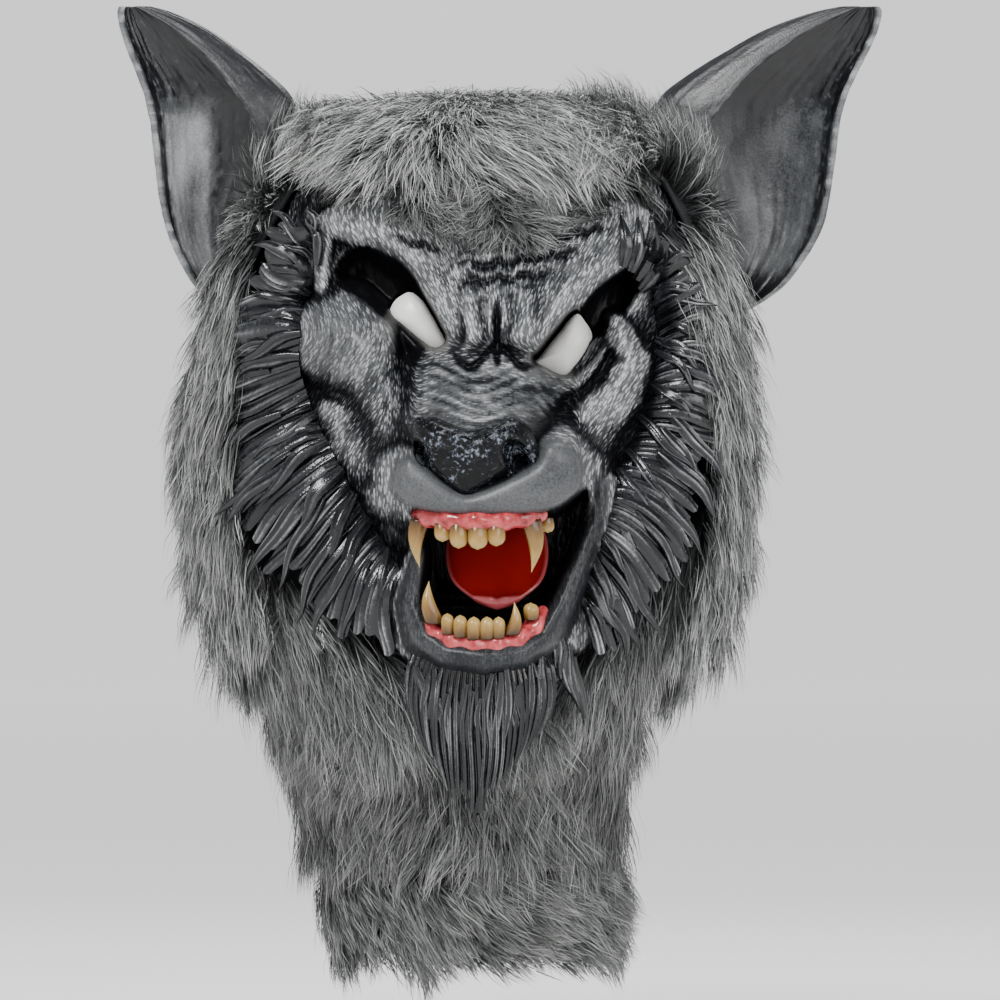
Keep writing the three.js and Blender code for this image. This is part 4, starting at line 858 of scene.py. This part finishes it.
def buildEar(form):
    rise = np.linspace(0, 1, ear["rows"])
    fine = curveThrough(earRows, 400)
    outer, back, rim, cup = (np.interp(rise, fine[:, 0], fine[:, k]) for k in (1, 2, 3, 4))
    foot, reach = head["half"] + ear["stand"], form["reach"]
    middle = foot + (outer + back) / 2 * reach
    half = (outer - back) / 2 * reach
    depth = cup * ear["cup"]
    endTurn = np.arccos(np.clip((foot + rim * reach - middle) / -half, -1, 1))
    across = np.repeat(np.linspace(0, 1, ear["columns"])[None], ear["rows"], 0)
    turn = (np.pi + endTurn)[:, None] * across
    forward = np.where(turn > np.pi, ear["curl"], 1)

    def grain(reach, soft=None):
        noise = rng.standard_normal(turn.shape)
        return smear(blur(noise, soft) if soft else noise, np.ones(turn.shape), np.zeros(turn.shape), reach)

    def wall(inset, bump):
        x = middle[:, None] + np.maximum(1, half[:, None] - inset - bump) * np.cos(turn)
        y = np.maximum(1, depth[:, None] - inset - bump) * np.sin(turn) * forward - ear["front"]
        z = np.broadcast_to((rise * ear["rise"] - ear["drop"])[:, None], x.shape)
        return np.stack([form["side"] * x, y, z], -1).reshape(-1, 3)

    noise, speck = grain(8), grain(1)
    high = rise[:, None]
    groove = hump(across, 0.53, 0.02) * band(high, 0.34, 0.4, 0.6, 0.68)
    folds = np.sin(across * 26 + 3 * np.sin(high * 4)) * (1 - ease(high, 0.1, 0.5))
    verts = np.concatenate([wall(ear["wall"], 0.25 * noise + 0.6 * folds - 2.2 * groove),
                            wall(0, 0.2 * noise)])
    border = hump(across, 0, 0.035) + hump(across, 1, 0.035)
    field = band(across, 0.05, 0.13, form["from"], form["to"]) * band(high, 0.05, 0.2, 0.62, 0.8)
    inside = band(across, 0.56, 0.66, 0.82, 0.9) * band(high, 0.1, 0.3, 0.45, 0.6)
    smoke = grain(12, 2.5)
    tone = form["dark"] + form["field"] * field + 0.3 * inside + 0.09 * smoke * (field + inside)
    tone = tone + 0.12 * speck * (1 - field) + 0.12 * np.clip(speck, 0, 3) * hump(across, 0.1, 0.07)
    tone = tone + 0.5 * border * ease(high, 0.03, 0.2) - 0.6 * groove
    tone = tone - 0.3 * (1 - ease(high, 0.02, 0.18)) * (1 - field)
    outTone = 0.58 - 0.36 * ease(across, 0.6, 0.8) + 0.04 * noise + 0.07 * speck + 0.1 * border
    tone = np.concatenate([tone.ravel(), outTone.ravel()])
    return verts, wallFaces(ear["rows"], ear["columns"]), {"tone": np.clip(tone, 0, 1)}


for node, form in ears.items():
    makePiece(node + "_wall", buildEar(form), latexEar, node)
print("stage: ears")

# Sculpted hair: grooved locks from the face's edge outward and down
ruffLeft = [[-0.76, 0.22, -0.84, 0.17, 12], [-0.8, 0.25, -1.0, 0.18, 14], [-0.8, 0.29, -1.07, 0.26, 16],
            [-0.84, 0.34, -1.17, 0.33, 18], [-0.86, 0.39, -1.28, 0.44, 20], [-0.87, 0.45, -1.3, 0.53, 20],
            [-0.81, 0.53, -1.23, 0.64, 20], [-0.74, 0.59, -1.13, 0.74, 20], [-0.67, 0.64, -1.0, 0.81, 20],
            [-0.59, 0.7, -0.83, 0.88, 18], [-0.49, 0.76, -0.63, 0.93, 19], [-0.37, 0.83, -0.4, 0.96, 17]]
ruffRight = [[0.79, 0.26, 0.75, 0.17, 13], [0.84, 0.29, 1.03, 0.26, 15], [0.84, 0.34, 1.1, 0.35, 18],
             [0.86, 0.4, 1.14, 0.45, 20], [0.84, 0.46, 1.14, 0.56, 20], [0.79, 0.53, 1.09, 0.64, 20],
             [0.73, 0.59, 1.03, 0.74, 20], [0.65, 0.66, 0.91, 0.84, 20], [0.58, 0.74, 0.79, 0.9, 19],
             [0.53, 0.81, 0.68, 0.96, 18], [0.47, 0.88, 0.55, 0.98, 15]]
ruffForm = {"spread": 135, "front": 99, "thick": 6, "steps": 18, "ridges": 3,
            "perStrand": 6, "rows": 44, "deep": 3.4,
            "layers": [(18, 0.3, 1.12, -1.0), (12, 0.0, 0.7, -2.0)]}


def ruffY(x):
    return -ruffForm["front"] * (1 - np.minimum(1, np.abs(x) / ruffForm["spread"]) ** 2.2) ** (1 / 2.2)


def hairLock(path, outward, wide, thick, phase, steps):
    # one grooved, tapering lock along a path of points
    sides = 18
    path = curveThrough(path, steps)
    tangent = unit(np.gradient(path, axis=0))
    up = unit(outward - tangent * (tangent * outward).sum(-1, keepdims=True))
    across = np.cross(tangent, up)
    t = turns(sides)
    share = np.linspace(0, 1, steps)
    size = np.clip(0.6 + 1.4 * share, 0, 1) * (1 - np.clip((share - 0.3) / 0.7, 0, 1) ** 1.8) + 0.02
    groove = 0.5 + 0.5 * np.cos(t * ruffForm["ridges"] * 2 + phase)
    tall = np.where(np.sin(t) > 0, 1.0, 0.35) * (0.6 + 0.5 * groove)
    ring = path[:, None] + (wide / 2 * size)[:, None, None] * np.cos(t)[None, :, None] * across[:, None]
    ring = ring + (thick / 2 * np.sqrt(size))[:, None, None] * (np.sin(t) * tall)[None, :, None] * up[:, None]
    verts = np.concatenate([ring.reshape(-1, 3), path[-1:]])
    cap = capFaces(steps * sides, (steps - 1) * sides + np.arange(sides))
    high = np.where(np.sin(t) > 0.1, groove ** 1.6, 0.0)
    along = 0.35 + 0.65 * np.sin(np.pi * np.clip(share, 0, 1)) ** 0.7
    tone = 0.02 + rng.uniform(0.35, 0.85) * high[None] ** 1.5 * along[:, None]
    tone = tone + 0.06 * rng.standard_normal((steps, sides))
    tone = np.clip(np.concatenate([tone.ravel(), [0.3]]), 0, 1)
    return verts, [gridFaces(steps, sides, True), cap], {"tone": tone}


def hairSheet(roots, tips, strands, bulge, sway):
    # a fan of grooved strands between a line of roots and a line of tips
    form = ruffForm
    columns = strands * form["perStrand"] + 1
    roots, tips = curveThrough(roots, columns), curveThrough(tips, columns)
    r = np.linspace(0, strands, columns)
    strand = np.minimum(r.astype(int), strands - 1)
    inside = r - strand
    share = np.linspace(0, 1, form["rows"])
    reach = rng.uniform(0.82, 1.06, strands)[strand] * (0.86 + 0.14 * np.sin(np.pi * inside) ** 0.6)
    s = share[:, None] * reach[None]
    base = mix(roots[None], tips[None], s[..., None])
    down = unit(tips - roots)
    side = unit(np.gradient(roots, axis=0))
    out = np.cross(side, down)
    out = unit(out * np.where(out[:, 1:2] > 0, -1, 1))
    phase = blur(rng.standard_normal((1, columns)), 9)[0] * 14
    length = np.linalg.norm(tips - roots, axis=1)
    base[..., 2] -= 0.15 * length * s ** 2
    base[..., 0] -= 0.05 * np.sign(tips[:, 0]) * length * s ** 2
    wave = sway * length * (np.sin(np.pi * s) * 0.6 + 0.5 * np.sin(2 * np.pi * s * 1.15 + phase[None]) * s)
    ridge = np.abs(np.sin(np.pi * inside)) ** 0.7 + 0.22 * np.cos(6 * np.pi * inside)
    tall = rng.uniform(0.45, 1.25, strands)[strand]
    fade = np.minimum(1, s * 6 + 0.35) * (1 - 0.55 * np.clip(s - 0.75, 0, 1) * 4)
    lift = form["deep"] * (ridge * tall)[None] * fade + bulge * np.sin(np.pi * np.clip(s, 0, 1))
    grid = base + side[None] * wave[..., None] + out[None] * lift[..., None]
    glow = rng.uniform(0.35, 1.0, strands)[strand] * np.clip(ridge, 0, 1.3) ** 2.2
    slow = 0.75 + 0.35 * np.sin(s * 7 + phase[None] * 1.3)
    tone = 0.02 + 0.6 * glow[None] ** 1.4 * slow * np.minimum(1, s * 4 + 0.3)
    tone = tone + 0.05 * rng.standard_normal(s.shape)
    return grid.reshape(-1, 3), [gridFaces(form["rows"], columns)], {"tone": np.clip(tone, 0, 0.9).ravel()}


def buildRuff(rows, tufts):
    rows = np.array(rows)
    inner = np.column_stack([rows[:, 0] * head["half"], 0 * rows[:, 0], -rows[:, 1] * head["faceDrop"]])
    outer = np.column_stack([rows[:, 2] * head["half"], 0 * rows[:, 0], -rows[:, 3] * head["faceDrop"]])

    def lifted(x, z):
        return frontY(x, -z) - np.clip(faceRelief(x, -z), -2, 20)

    inner[:, 0] *= 0.97
    inner[:, 1] = lifted(inner[:, 0], inner[:, 2])
    outer[:, 1] = ruffY(outer[:, 0])
    turn = np.sign(inner[0, 0])
    parts = [hairSheet(inner, outer, 34, 5, -0.05 * turn)]
    for count, start, end, back in ruffForm["layers"]:
        for i in range(count):
            at = (i + rng.uniform(0.1, 0.9)) / count * (len(rows) - 1)
            row, a, b = (rowAt(table, at) for table in (rows, inner, outer))
            way = b + [rng.normal(0, 4), 0, rng.normal(0, 5)] - a
            root, tip = a + way * start, a + way * end * rng.uniform(0.85, 1.05)
            length = np.linalg.norm(tip - root)
            sideways = np.array([-way[2], 0, way[0]]) / np.hypot(way[0], way[2])
            share = np.linspace(0, 1, 11)
            wave = 0.09 * rng.normal(0.4, 0.5) * turn * np.sin(share * np.pi)
            wave = length * (wave + 0.06 * np.sin(share * 7 + rng.uniform(0, 6)) * share)
            path = root + (tip - root) * share[:, None] + sideways * wave[:, None]
            path[:, 2] -= 0.15 * length * np.clip(mix(start, end, share), 0, 1) ** 2
            path[:, 1] += back - 6 * np.sin(np.pi * np.clip(mix(start, end, share), 0, 1))
            outward = unit(np.array([a[0] / 2, -head["half"], 0]))
            wide = row[4] * rng.uniform(0.25, 0.42)
            parts.append(hairLock(path, outward, wide, ruffForm["thick"],
                                  rng.uniform(0, 6), ruffForm["steps"]))
    for fromU, fromV, toU, toV, wide in tufts:
        share = np.linspace(0, 1, 7)
        x = mix(fromU, toU, share) * head["half"] + 1.5 * np.sin(share * 4)
        z = -mix(fromV, toV, share) * head["faceDrop"]
        y = lifted(x[:1], z[:1]) - 3 + 4 * share - 4 * np.sin(np.pi * share)
        parts.append(hairLock(np.stack([x, y, z], -1), np.array([0, -1.0, 0.2]),
                              wide, 5, rng.uniform(0, 6), 12))
    return joinParts(parts)


tuftLeft = [[-0.831, 0.304, -0.976, 0.217, 7], [-0.807, 0.291, -0.915, 0.193, 7],
            [-0.784, 0.28, -0.845, 0.175, 7],
            [-0.76, 0.269, -0.779, 0.169, 6], [-0.845, 0.322, -1.02, 0.261, 8]]
tuftRight = [[0.667, 0.272, 0.667, 0.175, 6], [0.704, 0.28, 0.751, 0.18, 7], [0.732, 0.294, 0.821, 0.202, 7],
             [0.751, 0.313, 0.882, 0.23, 8]]
for rows, tufts, node in ((ruffLeft, tuftLeft, "cheek_ruff_left"),
                          (ruffRight, tuftRight, "cheek_ruff_right")):
    makePiece(node + "_locks", buildRuff(rows, tufts), latexHair, node)

# Beard: locks under the lip that draw together to a point
beardForm = {"spread": 31, "locks": 16, "top": 248,
             "tips": [[-27, 277, 0.5], [-21, 290, 0.47], [-14, 303, 0.44], [-5, 311, 0.42], [2, 311, 0.42],
                      [10, 302, 0.44], [17, 290, 0.46], [26, 276, 0.5]]}


def buildBeard():
    tips = np.array(beardForm["tips"], float)
    q = np.linspace(-1, 1, len(tips))
    roots = np.stack([q * beardForm["spread"], 0 * q, -beardForm["top"] - 4 + 8 * q ** 2], -1)
    roots[:, 1] = frontY(roots[:, 0], -roots[:, 2]) - 0.66 * head["reach"] + 7 * q ** 2
    ends = np.stack([tips[:, 0], frontY(tips[:, 0], tips[:, 1]) - tips[:, 2] * head["reach"],
                     -tips[:, 1]], -1)
    parts = [hairSheet(roots, ends, 26, 7, 0.02)]
    for i in range(beardForm["locks"]):
        at = (i + rng.uniform(0.2, 0.8)) / beardForm["locks"] * (len(tips) - 1)
        a, b = rowAt(roots, at), rowAt(ends, at)
        start, end = rng.uniform(-0.05, 0.35), rng.uniform(0.65, 1.08)
        share = np.linspace(0, 1, 9)
        path = a + (b - a) * mix(start, end, share)[:, None]
        path[:, 0] += 1.6 * np.sin(share * 5 + rng.uniform(0, 6))
        path[:, 1] -= 7 * np.sin(np.pi * np.clip(mix(start, end, share), 0, 1)) + 1.5
        parts.append(hairLock(path, np.array([a[0] * 0.02, -1.0, 0.1]),
                              rng.uniform(4, 6.5), 5, rng.uniform(0, 6), 16))
    # short locks beside the lower lip
    for side in (-1, 1):
        for i in range(5):
            share = np.linspace(0, 1, 7)
            x = 8 + side * (25 + 2.5 * i) + side * 4 * share + 1.2 * np.sin(share * 5 + i)
            z = -(beardForm["top"] - 14 + 3 * i) - (20 + 3 * i) * share
            y = frontY(x, -z) - 0.5 * head["reach"] - 3 * np.sin(np.pi * share)
            outward = np.array([side * 0.4, -1.0, 0.1])
            parts.append(hairLock(np.stack([x, y, z], -1), outward, 6.5, 5, rng.uniform(0, 6), 14))
    return joinParts(parts)


makePiece("beardLocks", buildBeard(), latexHair, "chin_beard")
print("stage: sculpted hair")

# Fur fabric: dark cloth with long strands drawn together in clumps
fur = {"gap": 2.2, "cloth": 2.4, "brow": 0.115, "from": 66, "to": 90, "hoodHeight": 258, "fall": 1.8,
       "bibTop": 258, "bibLength": 86, "hemStart": 0.935, "hemLength": 54}


def hoodEdge(angle):
    return mix(fur["brow"] * head["faceDrop"], fur["hoodHeight"], ease(np.abs(angle), fur["from"], fur["to"]))


def clothPatch(angles, shares, place):
    # a thin closed sheet over a grid of angles and shares
    a, s = np.meshgrid(angles, shares)
    verts = np.concatenate([place(a, s, outset).reshape(-1, 3) for outset in (fur["cloth"], 0.0)])
    return verts, wallFaces(*a.shape)


def placeHood(angle, share, outset):
    return headPoint(angle, share ** fur["fall"] * hoodEdge(angle), fur["gap"] + outset, drapeRows)


def placeBrow(x, drop, outset):
    # on the skin above the eyes
    return np.stack([x, frontY(x, drop) - np.maximum(faceRelief(x, drop), 0) - outset, -drop], -1)


def placeBib(angle, share, outset):
    return headPoint(angle, fur["bibTop"] + share * fur["bibLength"], fur["gap"] + outset, bibRows)


collarTop = np.array([[-122, 170, -26], [-110, 194, -44], [-88, 212, -62], [-60, 231, -70], [-30, 250, -68],
                      [8, 262, -64], [42, 250, -68], [64, 227, -68], [86, 203, -58], [104, 178, -40]])


def placeCollar(angle, share, outset):
    # from a line under the sculpted hair down to the bib
    top = rowAt(collarTop, np.clip((angle + 80) / 146, 0, 1) * (len(collarTop) - 1))
    top = top[..., [0, 2, 1]] * [1, 1, -1] - [0, outset, 0]
    return mix(top, placeBib(angle, 0.25, outset), np.clip(share, 0, 1)[..., None])


fringeLines = {
    -1: [[-104, 60, -52, -112, 50, -30], [-108, 95, -54, -124, 80, -30], [-112, 130, -52, -132, 130, -22],
         [-112, 170, -52, -136, 175, -16], [-106, 200, -58, -132, 215, -18], [-92, 228, -66, -120, 250, -24]],
    1: [[84, 50, -60, 104, 45, -36], [98, 95, -60, 122, 85, -30], [104, 130, -56, 126, 130, -24],
        [106, 170, -54, 126, 175, -20], [100, 205, -56, 120, 215, -22], [88, 232, -62, 108, 250, -28]]}


def placeFringe(side):
    # between the sculpted hair and the front edge of the hood
    lines = np.array(fringeLines[side], float)

    def place(angle, share, outset):
        p = rowAt(lines, np.clip(angle / 100, 0, 1) * (len(lines) - 1))
        p = mix(p[..., [0, 2, 1]], p[..., [3, 5, 4]], np.clip(share, 0, 1)[..., None])
        return p * [1, 1, -1] - [0, outset, 0]
    return place


def placeHem(angle, share, outset):
    drop = fur["bibTop"] + fur["bibLength"] * fur["hemStart"] + share * fur["hemLength"]
    return headPoint(angle, drop, fur["gap"] + outset, bibRows)


hoodSheet = clothPatch(np.linspace(-180, 180, 91), np.linspace(0.02, 0.95, 40), placeHood)
hoodCloth = makePiece("hoodCloth", hoodSheet, darkCloth, "fur_hood")
bibCloth = makePiece("bibCloth", clothPatch(np.linspace(-76, 62, 60), np.linspace(0, 0.93, 24), placeBib),
                     darkCloth, "fur_bib")
hemCloth = makePiece("hemCloth", clothPatch(np.linspace(-70, 66, 60), np.linspace(0, 0.86, 16), placeHem),
                     darkCloth, "fur_hem")

# How a strand turns and strays from its clump, sags, draws in to it and thins
strand = {"points": 4, "turn": 0.28, "stray": 0.16, "sag": 0.16, "draw": 0.8, "thin": 0.85}


def growFur(name, node, place, spots, lean, long, stand,
            perClump=11, spread=2.8, width=0.5, curl=1.6, dark=1.05):
    # long and stand are numbers, one or one for each root, or functions of the roots
    # spots are (angle, share) of clump roots; lean gives the lying direction at each root
    angle, share = spots.T
    count, points = len(spots), strand["points"]
    base = place(angle, share, fur["cloth"])
    du = place(angle + 1.0, share, fur["cloth"]) - base
    dv = place(angle, share + 0.01, fur["cloth"]) - base
    normal = unit(np.cross(dv, du))
    outward = np.sign((normal * (base - [0, 10, -150])).sum(-1, keepdims=True))
    normal = normal * np.where(outward == 0, 1, outward)
    long, stand = (np.broadcast_to(v(base) if callable(v) else v, count) for v in (long, stand))
    lie = lean(base, angle)
    lie = unit(lie - normal * (lie * normal).sum(-1, keepdims=True) + 1e-6)
    length = long * rng.uniform(0.75, 1.2, count)
    lie = unit(lie + np.cross(lie, normal) * rng.normal(0, strand["turn"], (count, 1)))
    total = count * perClump
    owner = np.repeat(np.arange(count), perClump)
    offset = rng.normal(0, spread, (total, 2))
    here = base[owner] + unit(du)[owner] * offset[:, :1] + unit(dv)[owner] * offset[:, 1:]
    standing = stand[owner] * rng.uniform(0.6, 1.35, total)
    strandLength = length[owner] * rng.uniform(0.7, 1.12, total)
    own = unit(lie[owner] + strand["stray"] * rng.standard_normal((total, 3)))
    t = np.linspace(0, 1, points)
    phase, bend = rng.uniform(0, 6.28, total), curl * rng.standard_normal(total)
    sideOwn = np.cross(own, normal[owner])
    path = np.zeros((total, points, 3))
    path[:, 0] = here
    for k in range(1, points):
        up = standing * (1 - 0.75 * t[k])
        step = own * (0.55 + 0.45 * t[k]) + normal[owner] * up[:, None]
        step = step - np.array([0, 0, strand["sag"]]) * t[k]
        here = here + unit(step) * (strandLength / (points - 1))[:, None]
        path[:, k] = here + sideOwn * (bend * np.sin(phase + 3.0 * t[k]))[:, None] * t[k]
    # the strands of a clump draw together towards their tips
    centre = path.reshape(count, perClump, points, 3).mean(1)[owner]
    pull = (strand["draw"] * t ** 1.4)[None, :, None]
    path = path + (centre - path) * pull * rng.uniform(0.6, 1.1, (total, 1, 1))
    tangent = unit(np.gradient(path, axis=1))
    twist = rng.uniform(-1.0, 1.0, (total, 1, 1))
    flat = np.cross(tangent, normal[owner][:, None])
    flat = unit(flat * np.cos(twist) + normal[owner][:, None] * np.sin(twist))
    half = width / 2 * rng.uniform(0.7, 1.3, (total, 1)) * (1 - strand["thin"] * t[None] ** 1.6)
    left, right = path - flat * half[..., None], path + flat * half[..., None]
    body = np.stack([left[:, :-1], right[:, :-1]], 2).reshape(total, -1, 3)
    verts = np.concatenate([body, path[:, -1:]], 1)
    per = verts.shape[1]
    start = np.arange(total)[:, None] * per
    quads = np.concatenate([start + 2 * k + np.array([0, 1, 3, 2]) for k in range(points - 2)])
    along = np.concatenate([np.repeat(t[:-1], 2), [1.0]])
    along = np.clip(along[None] * rng.uniform(0.75, 1.1, (total, 1)), 0, 1)
    shade = dark * rng.uniform(0.4, 1.55, total) * rng.uniform(0.35, 1.45, count)[owner]
    looks = {"along": along.ravel(), "shade": np.repeat(shade, per)}
    makePiece(name, (verts.reshape(-1, 3), [quads, start + np.arange(per - 3, per)], looks),
              greyFur, node)


def scatter(count, low, high):
    return np.column_stack([rng.uniform(low[k], high[k], count) for k in (0, 1)])


def lying(x, y, z):
    # a direction at each root
    return np.stack(np.broadcast_arrays(x, y, z), -1)


def crownLean(base, angle):
    # forward over the brow in slow swirls, upright beside the ears
    x, y = base[:, 0], base[:, 1]
    swirl = 0.9 * np.sin(x * 0.05 + 0.9) + 0.5 * np.sin(y * 0.06 - x * 0.03)
    out = np.clip(np.abs(x) / 90, 0, 1) ** 2
    corner = out * (1 - ease(-base[:, 2], 20, 60))
    sideways = swirl * (1 - out) + 0.35 * out * np.sign(x) * (1 - corner)
    return lying(sideways, 0.5 * out - 1, mix(0.2 * out - 0.8, 0.9, corner))


def crownStand(base):
    return 0.6 + 1.3 * np.clip(np.abs(base[:, 0]) / 85, 0, 1) ** 1.5 * (1 - ease(-base[:, 2], 25, 70))


def crownLength(base):
    beside = ease(np.abs(base[:, 0]), 30, 70) * (1 - ease(-base[:, 2], 20, 80))
    front = ease(-base[:, 1], 30, 80) * (np.abs(base[:, 0]) < 90)
    return 28 + 12 * beside * (1 - ease(-base[:, 2], 20, 60)) + 12 * front * (1 - beside)


def whorlLean(base, angle):
    turn = 0.11 * base[:, 0] + 0.07 * base[:, 2] + 1.5 * np.sin(base[:, 0] * 0.05)
    return lying(np.cos(turn), -0.4, np.sin(turn))


def topLean(base, angle):
    # a whorl round the top of the head
    x, y = base[:, 0], base[:, 1]
    return lying(x - 0.9 * y, y + 0.9 * x + 6, -0.2)


def sideLean(base, angle):
    return lying(np.sign(base[:, 0]) * (0.5 + 0.3 * np.sin(base[:, 2] * 0.07)), -0.3, -1.0)


def sideLength(base):
    # short beside the ears
    return 18 + 22 * ease(-base[:, 2], 80, 110)


def fringeLean(base, angle):
    out = np.sign(base[:, 0]) * (0.75 - 0.5 * ease(angle, 30, 100))
    return lying(out + 0.2 * np.sin(angle * 0.3), -0.3, -1.0)


def backLean(base, angle):
    return lying(base[:, 0] * 0.004, 0.1, -1.0)


def collarLean(base, angle):
    # swept in towards the chin on the left, out and down on the right
    x, z = base[:, 0], base[:, 2]
    return lying(np.where(x < 0, 0.5, 0.1) + 0.4 * np.sin(x * 0.05 + z * 0.04), -0.2, -1.0)


def bibLean(base, angle):
    x, z = base[:, 0], base[:, 2]
    return lying(x * 0.004 + 0.5 * np.sin(x * 0.07 + z * 0.06), -0.1, -1.0)


def hemLean(base, angle):
    return lying(0.9 + 0.5 * np.sin(base[:, 0] * 0.05), -0.1, -0.55)


spots = np.concatenate([scatter(900, (-110, 0.03), (110, 0.42)), scatter(1500, (-84, 0.4), (84, 1.0))])[:2050]
growFur("furCrown", "fur_hood", placeHood, spots, crownLean, crownLength, crownStand, curl=2.6, dark=1.42)
spots = scatter(1500, (-66, 18), (72, 56))
spots = spots[spots[:, 1] < 54 - 14 * ((spots[:, 0] - 12) / 58) ** 2 + rng.uniform(-4, 3, len(spots))][:620]
growFur("furBrow", "fur_hood", placeBrow, spots, whorlLean, 19, 0.55,
        spread=2.6, width=0.42, curl=4.0, dark=0.62)
for sign, name in ((-1, "furSideLeft"), (1, "furSideRight")):
    spots = np.concatenate([scatter(920, (80, 0.4), (125, 0.99)), scatter(130, (85, 0.85), (135, 0.99))])
    growFur(name, "fur_hood", placeHood, spots * [sign, 1], sideLean, sideLength, 0.6, width=0.55, dark=0.97)
    growFur(name + "Edge", "fur_hood", placeFringe(sign), scatter(480, (0, 0), (100, 1)),
            fringeLean, 32, 0.5, 10, 2.6)
growFur("furBack", "fur_hood", placeHood, scatter(1100, (100, 0.1), (260, 0.98)),
        backLean, 42, 0.5, 8, 4.4, 1.2)
growFur("furCollar", "fur_hood", placeCollar, scatter(900, (-80, 0.0), (66, 0.9)),
        collarLean, 42, 0.45, dark=0.75)
growFur("furBib", "fur_bib", placeBib, scatter(1420, (-80, 0.05), (66, 0.84)),
        bibLean, 36, 0.5, width=0.55, dark=0.54)
spots = scatter(900, (-74, 0.12), (70, 0.88))
hemLength = 30 - 10 * spots[:, 1] + 4 * np.sin(placeHem(*spots.T, fur["cloth"])[:, 0] * 0.16)
growFur("furHem", "fur_hem", placeHem, spots, hemLean, hemLength, 0.6, spread=2.6, width=0.55, dark=0.61)
growFur("furTop", "fur_hood", placeHood, scatter(270, (90, 0.0), (270, 0.14)),
        topLean, 34, 0.55, spread=3.4, width=0.6)
print("stage: fur", sum(pieceTriangles.values()), "triangles in all")

# Stage
stage = {"floorTop": -0.43, "floorColour": (0.55, 0.55, 0.55), "world": 0.4,
         "flat": 9, "radius": 3, "glow": 0.72,
         "sides": 96}


def paleFloor():
    # a round floor that rises far away on every side
    mesh = bpy.data.meshes.new("floor")
    turn = np.linspace(0, np.pi / 2, 17)
    flat, radius = stage["flat"], stage["radius"]
    out = np.concatenate([[0.01, 3], flat + radius * np.sin(turn), [flat + radius]])
    up = np.concatenate([[0, 0], radius * (1 - np.cos(turn)), [radius + 3]]) + stage["floorTop"]
    around = turns(stage["sides"])
    x, y = out[:, None] * np.cos(around), out[:, None] * np.sin(around)
    verts = np.stack([x, y, up[:, None] + 0 * around], -1).reshape(-1, 3)
    faces = gridFaces(len(out), len(around), True)[:, ::-1].tolist() + [list(range(len(around)))]
    mesh.from_pydata(verts.tolist(), [], faces)
    mesh.polygons.foreach_set("use_smooth", [True] * len(faces))
    floor = bpy.data.objects.new("floor", mesh)
    bpy.context.scene.collection.objects.link(floor)
    n = Nodes("paleFloor")
    n.feed(n.shader, "Emission_Color", (1, 1, 1, 1))
    n.feed(n.shader, "Emission_Strength", stage["glow"])
    mesh.materials.append(n.finish((*stage["floorColour"], 1), 0.9))
    mesh.materials[0].cycles.emission_sampling = "NONE"


def softLight(name, place, target, size, power):
    data = bpy.data.lights.new(name, "AREA")
    data.size = size
    data.energy = power
    lamp = bpy.data.objects.new(name, data)
    bpy.context.scene.collection.objects.link(lamp)
    lamp.location = place
    x, y, z = np.array(target) - np.array(place)
    lamp.rotation_euler = (math.atan2(math.hypot(x, y), -z), 0, math.atan2(y, x) - math.pi / 2)


paleFloor()
world = bpy.data.worlds.new("studio")
bpy.context.scene.world = world
world.use_nodes = True
world.node_tree.nodes["Background"].inputs["Color"].default_value = (0.95, 0.97, 1.0, 1)
world.node_tree.nodes["Background"].inputs["Strength"].default_value = stage["world"]
# place, target, size and power
for name, light in {"key": ((-0.5, -1.5, 1.1), (0, -0.05, -0.15), 0.55, 40),
                    "fill": ((1.0, -1.3, 0.3), (0, 0, -0.18), 0.9, 12),
                    "rim": ((0.3, 0.6, 1.1), (0, 0, -0.1), 0.8, 22)}.items():
    softLight(name, *light)

cameraData = bpy.data.cameras.new("camera")
camera = bpy.data.objects.new("camera", cameraData)
bpy.context.scene.collection.objects.link(camera)
camera.location = (0.0092, -5, -0.1748)
camera.rotation_euler = (math.pi / 2, 0, 0)
# the mask's front stands 4.95 m away and 0.46 m fill the picture
cameraData.sensor_width = 36
cameraData.lens = cameraData.sensor_width * 4.95 / 0.46
bpy.context.scene.camera = camera
print("stage: lights and camera")
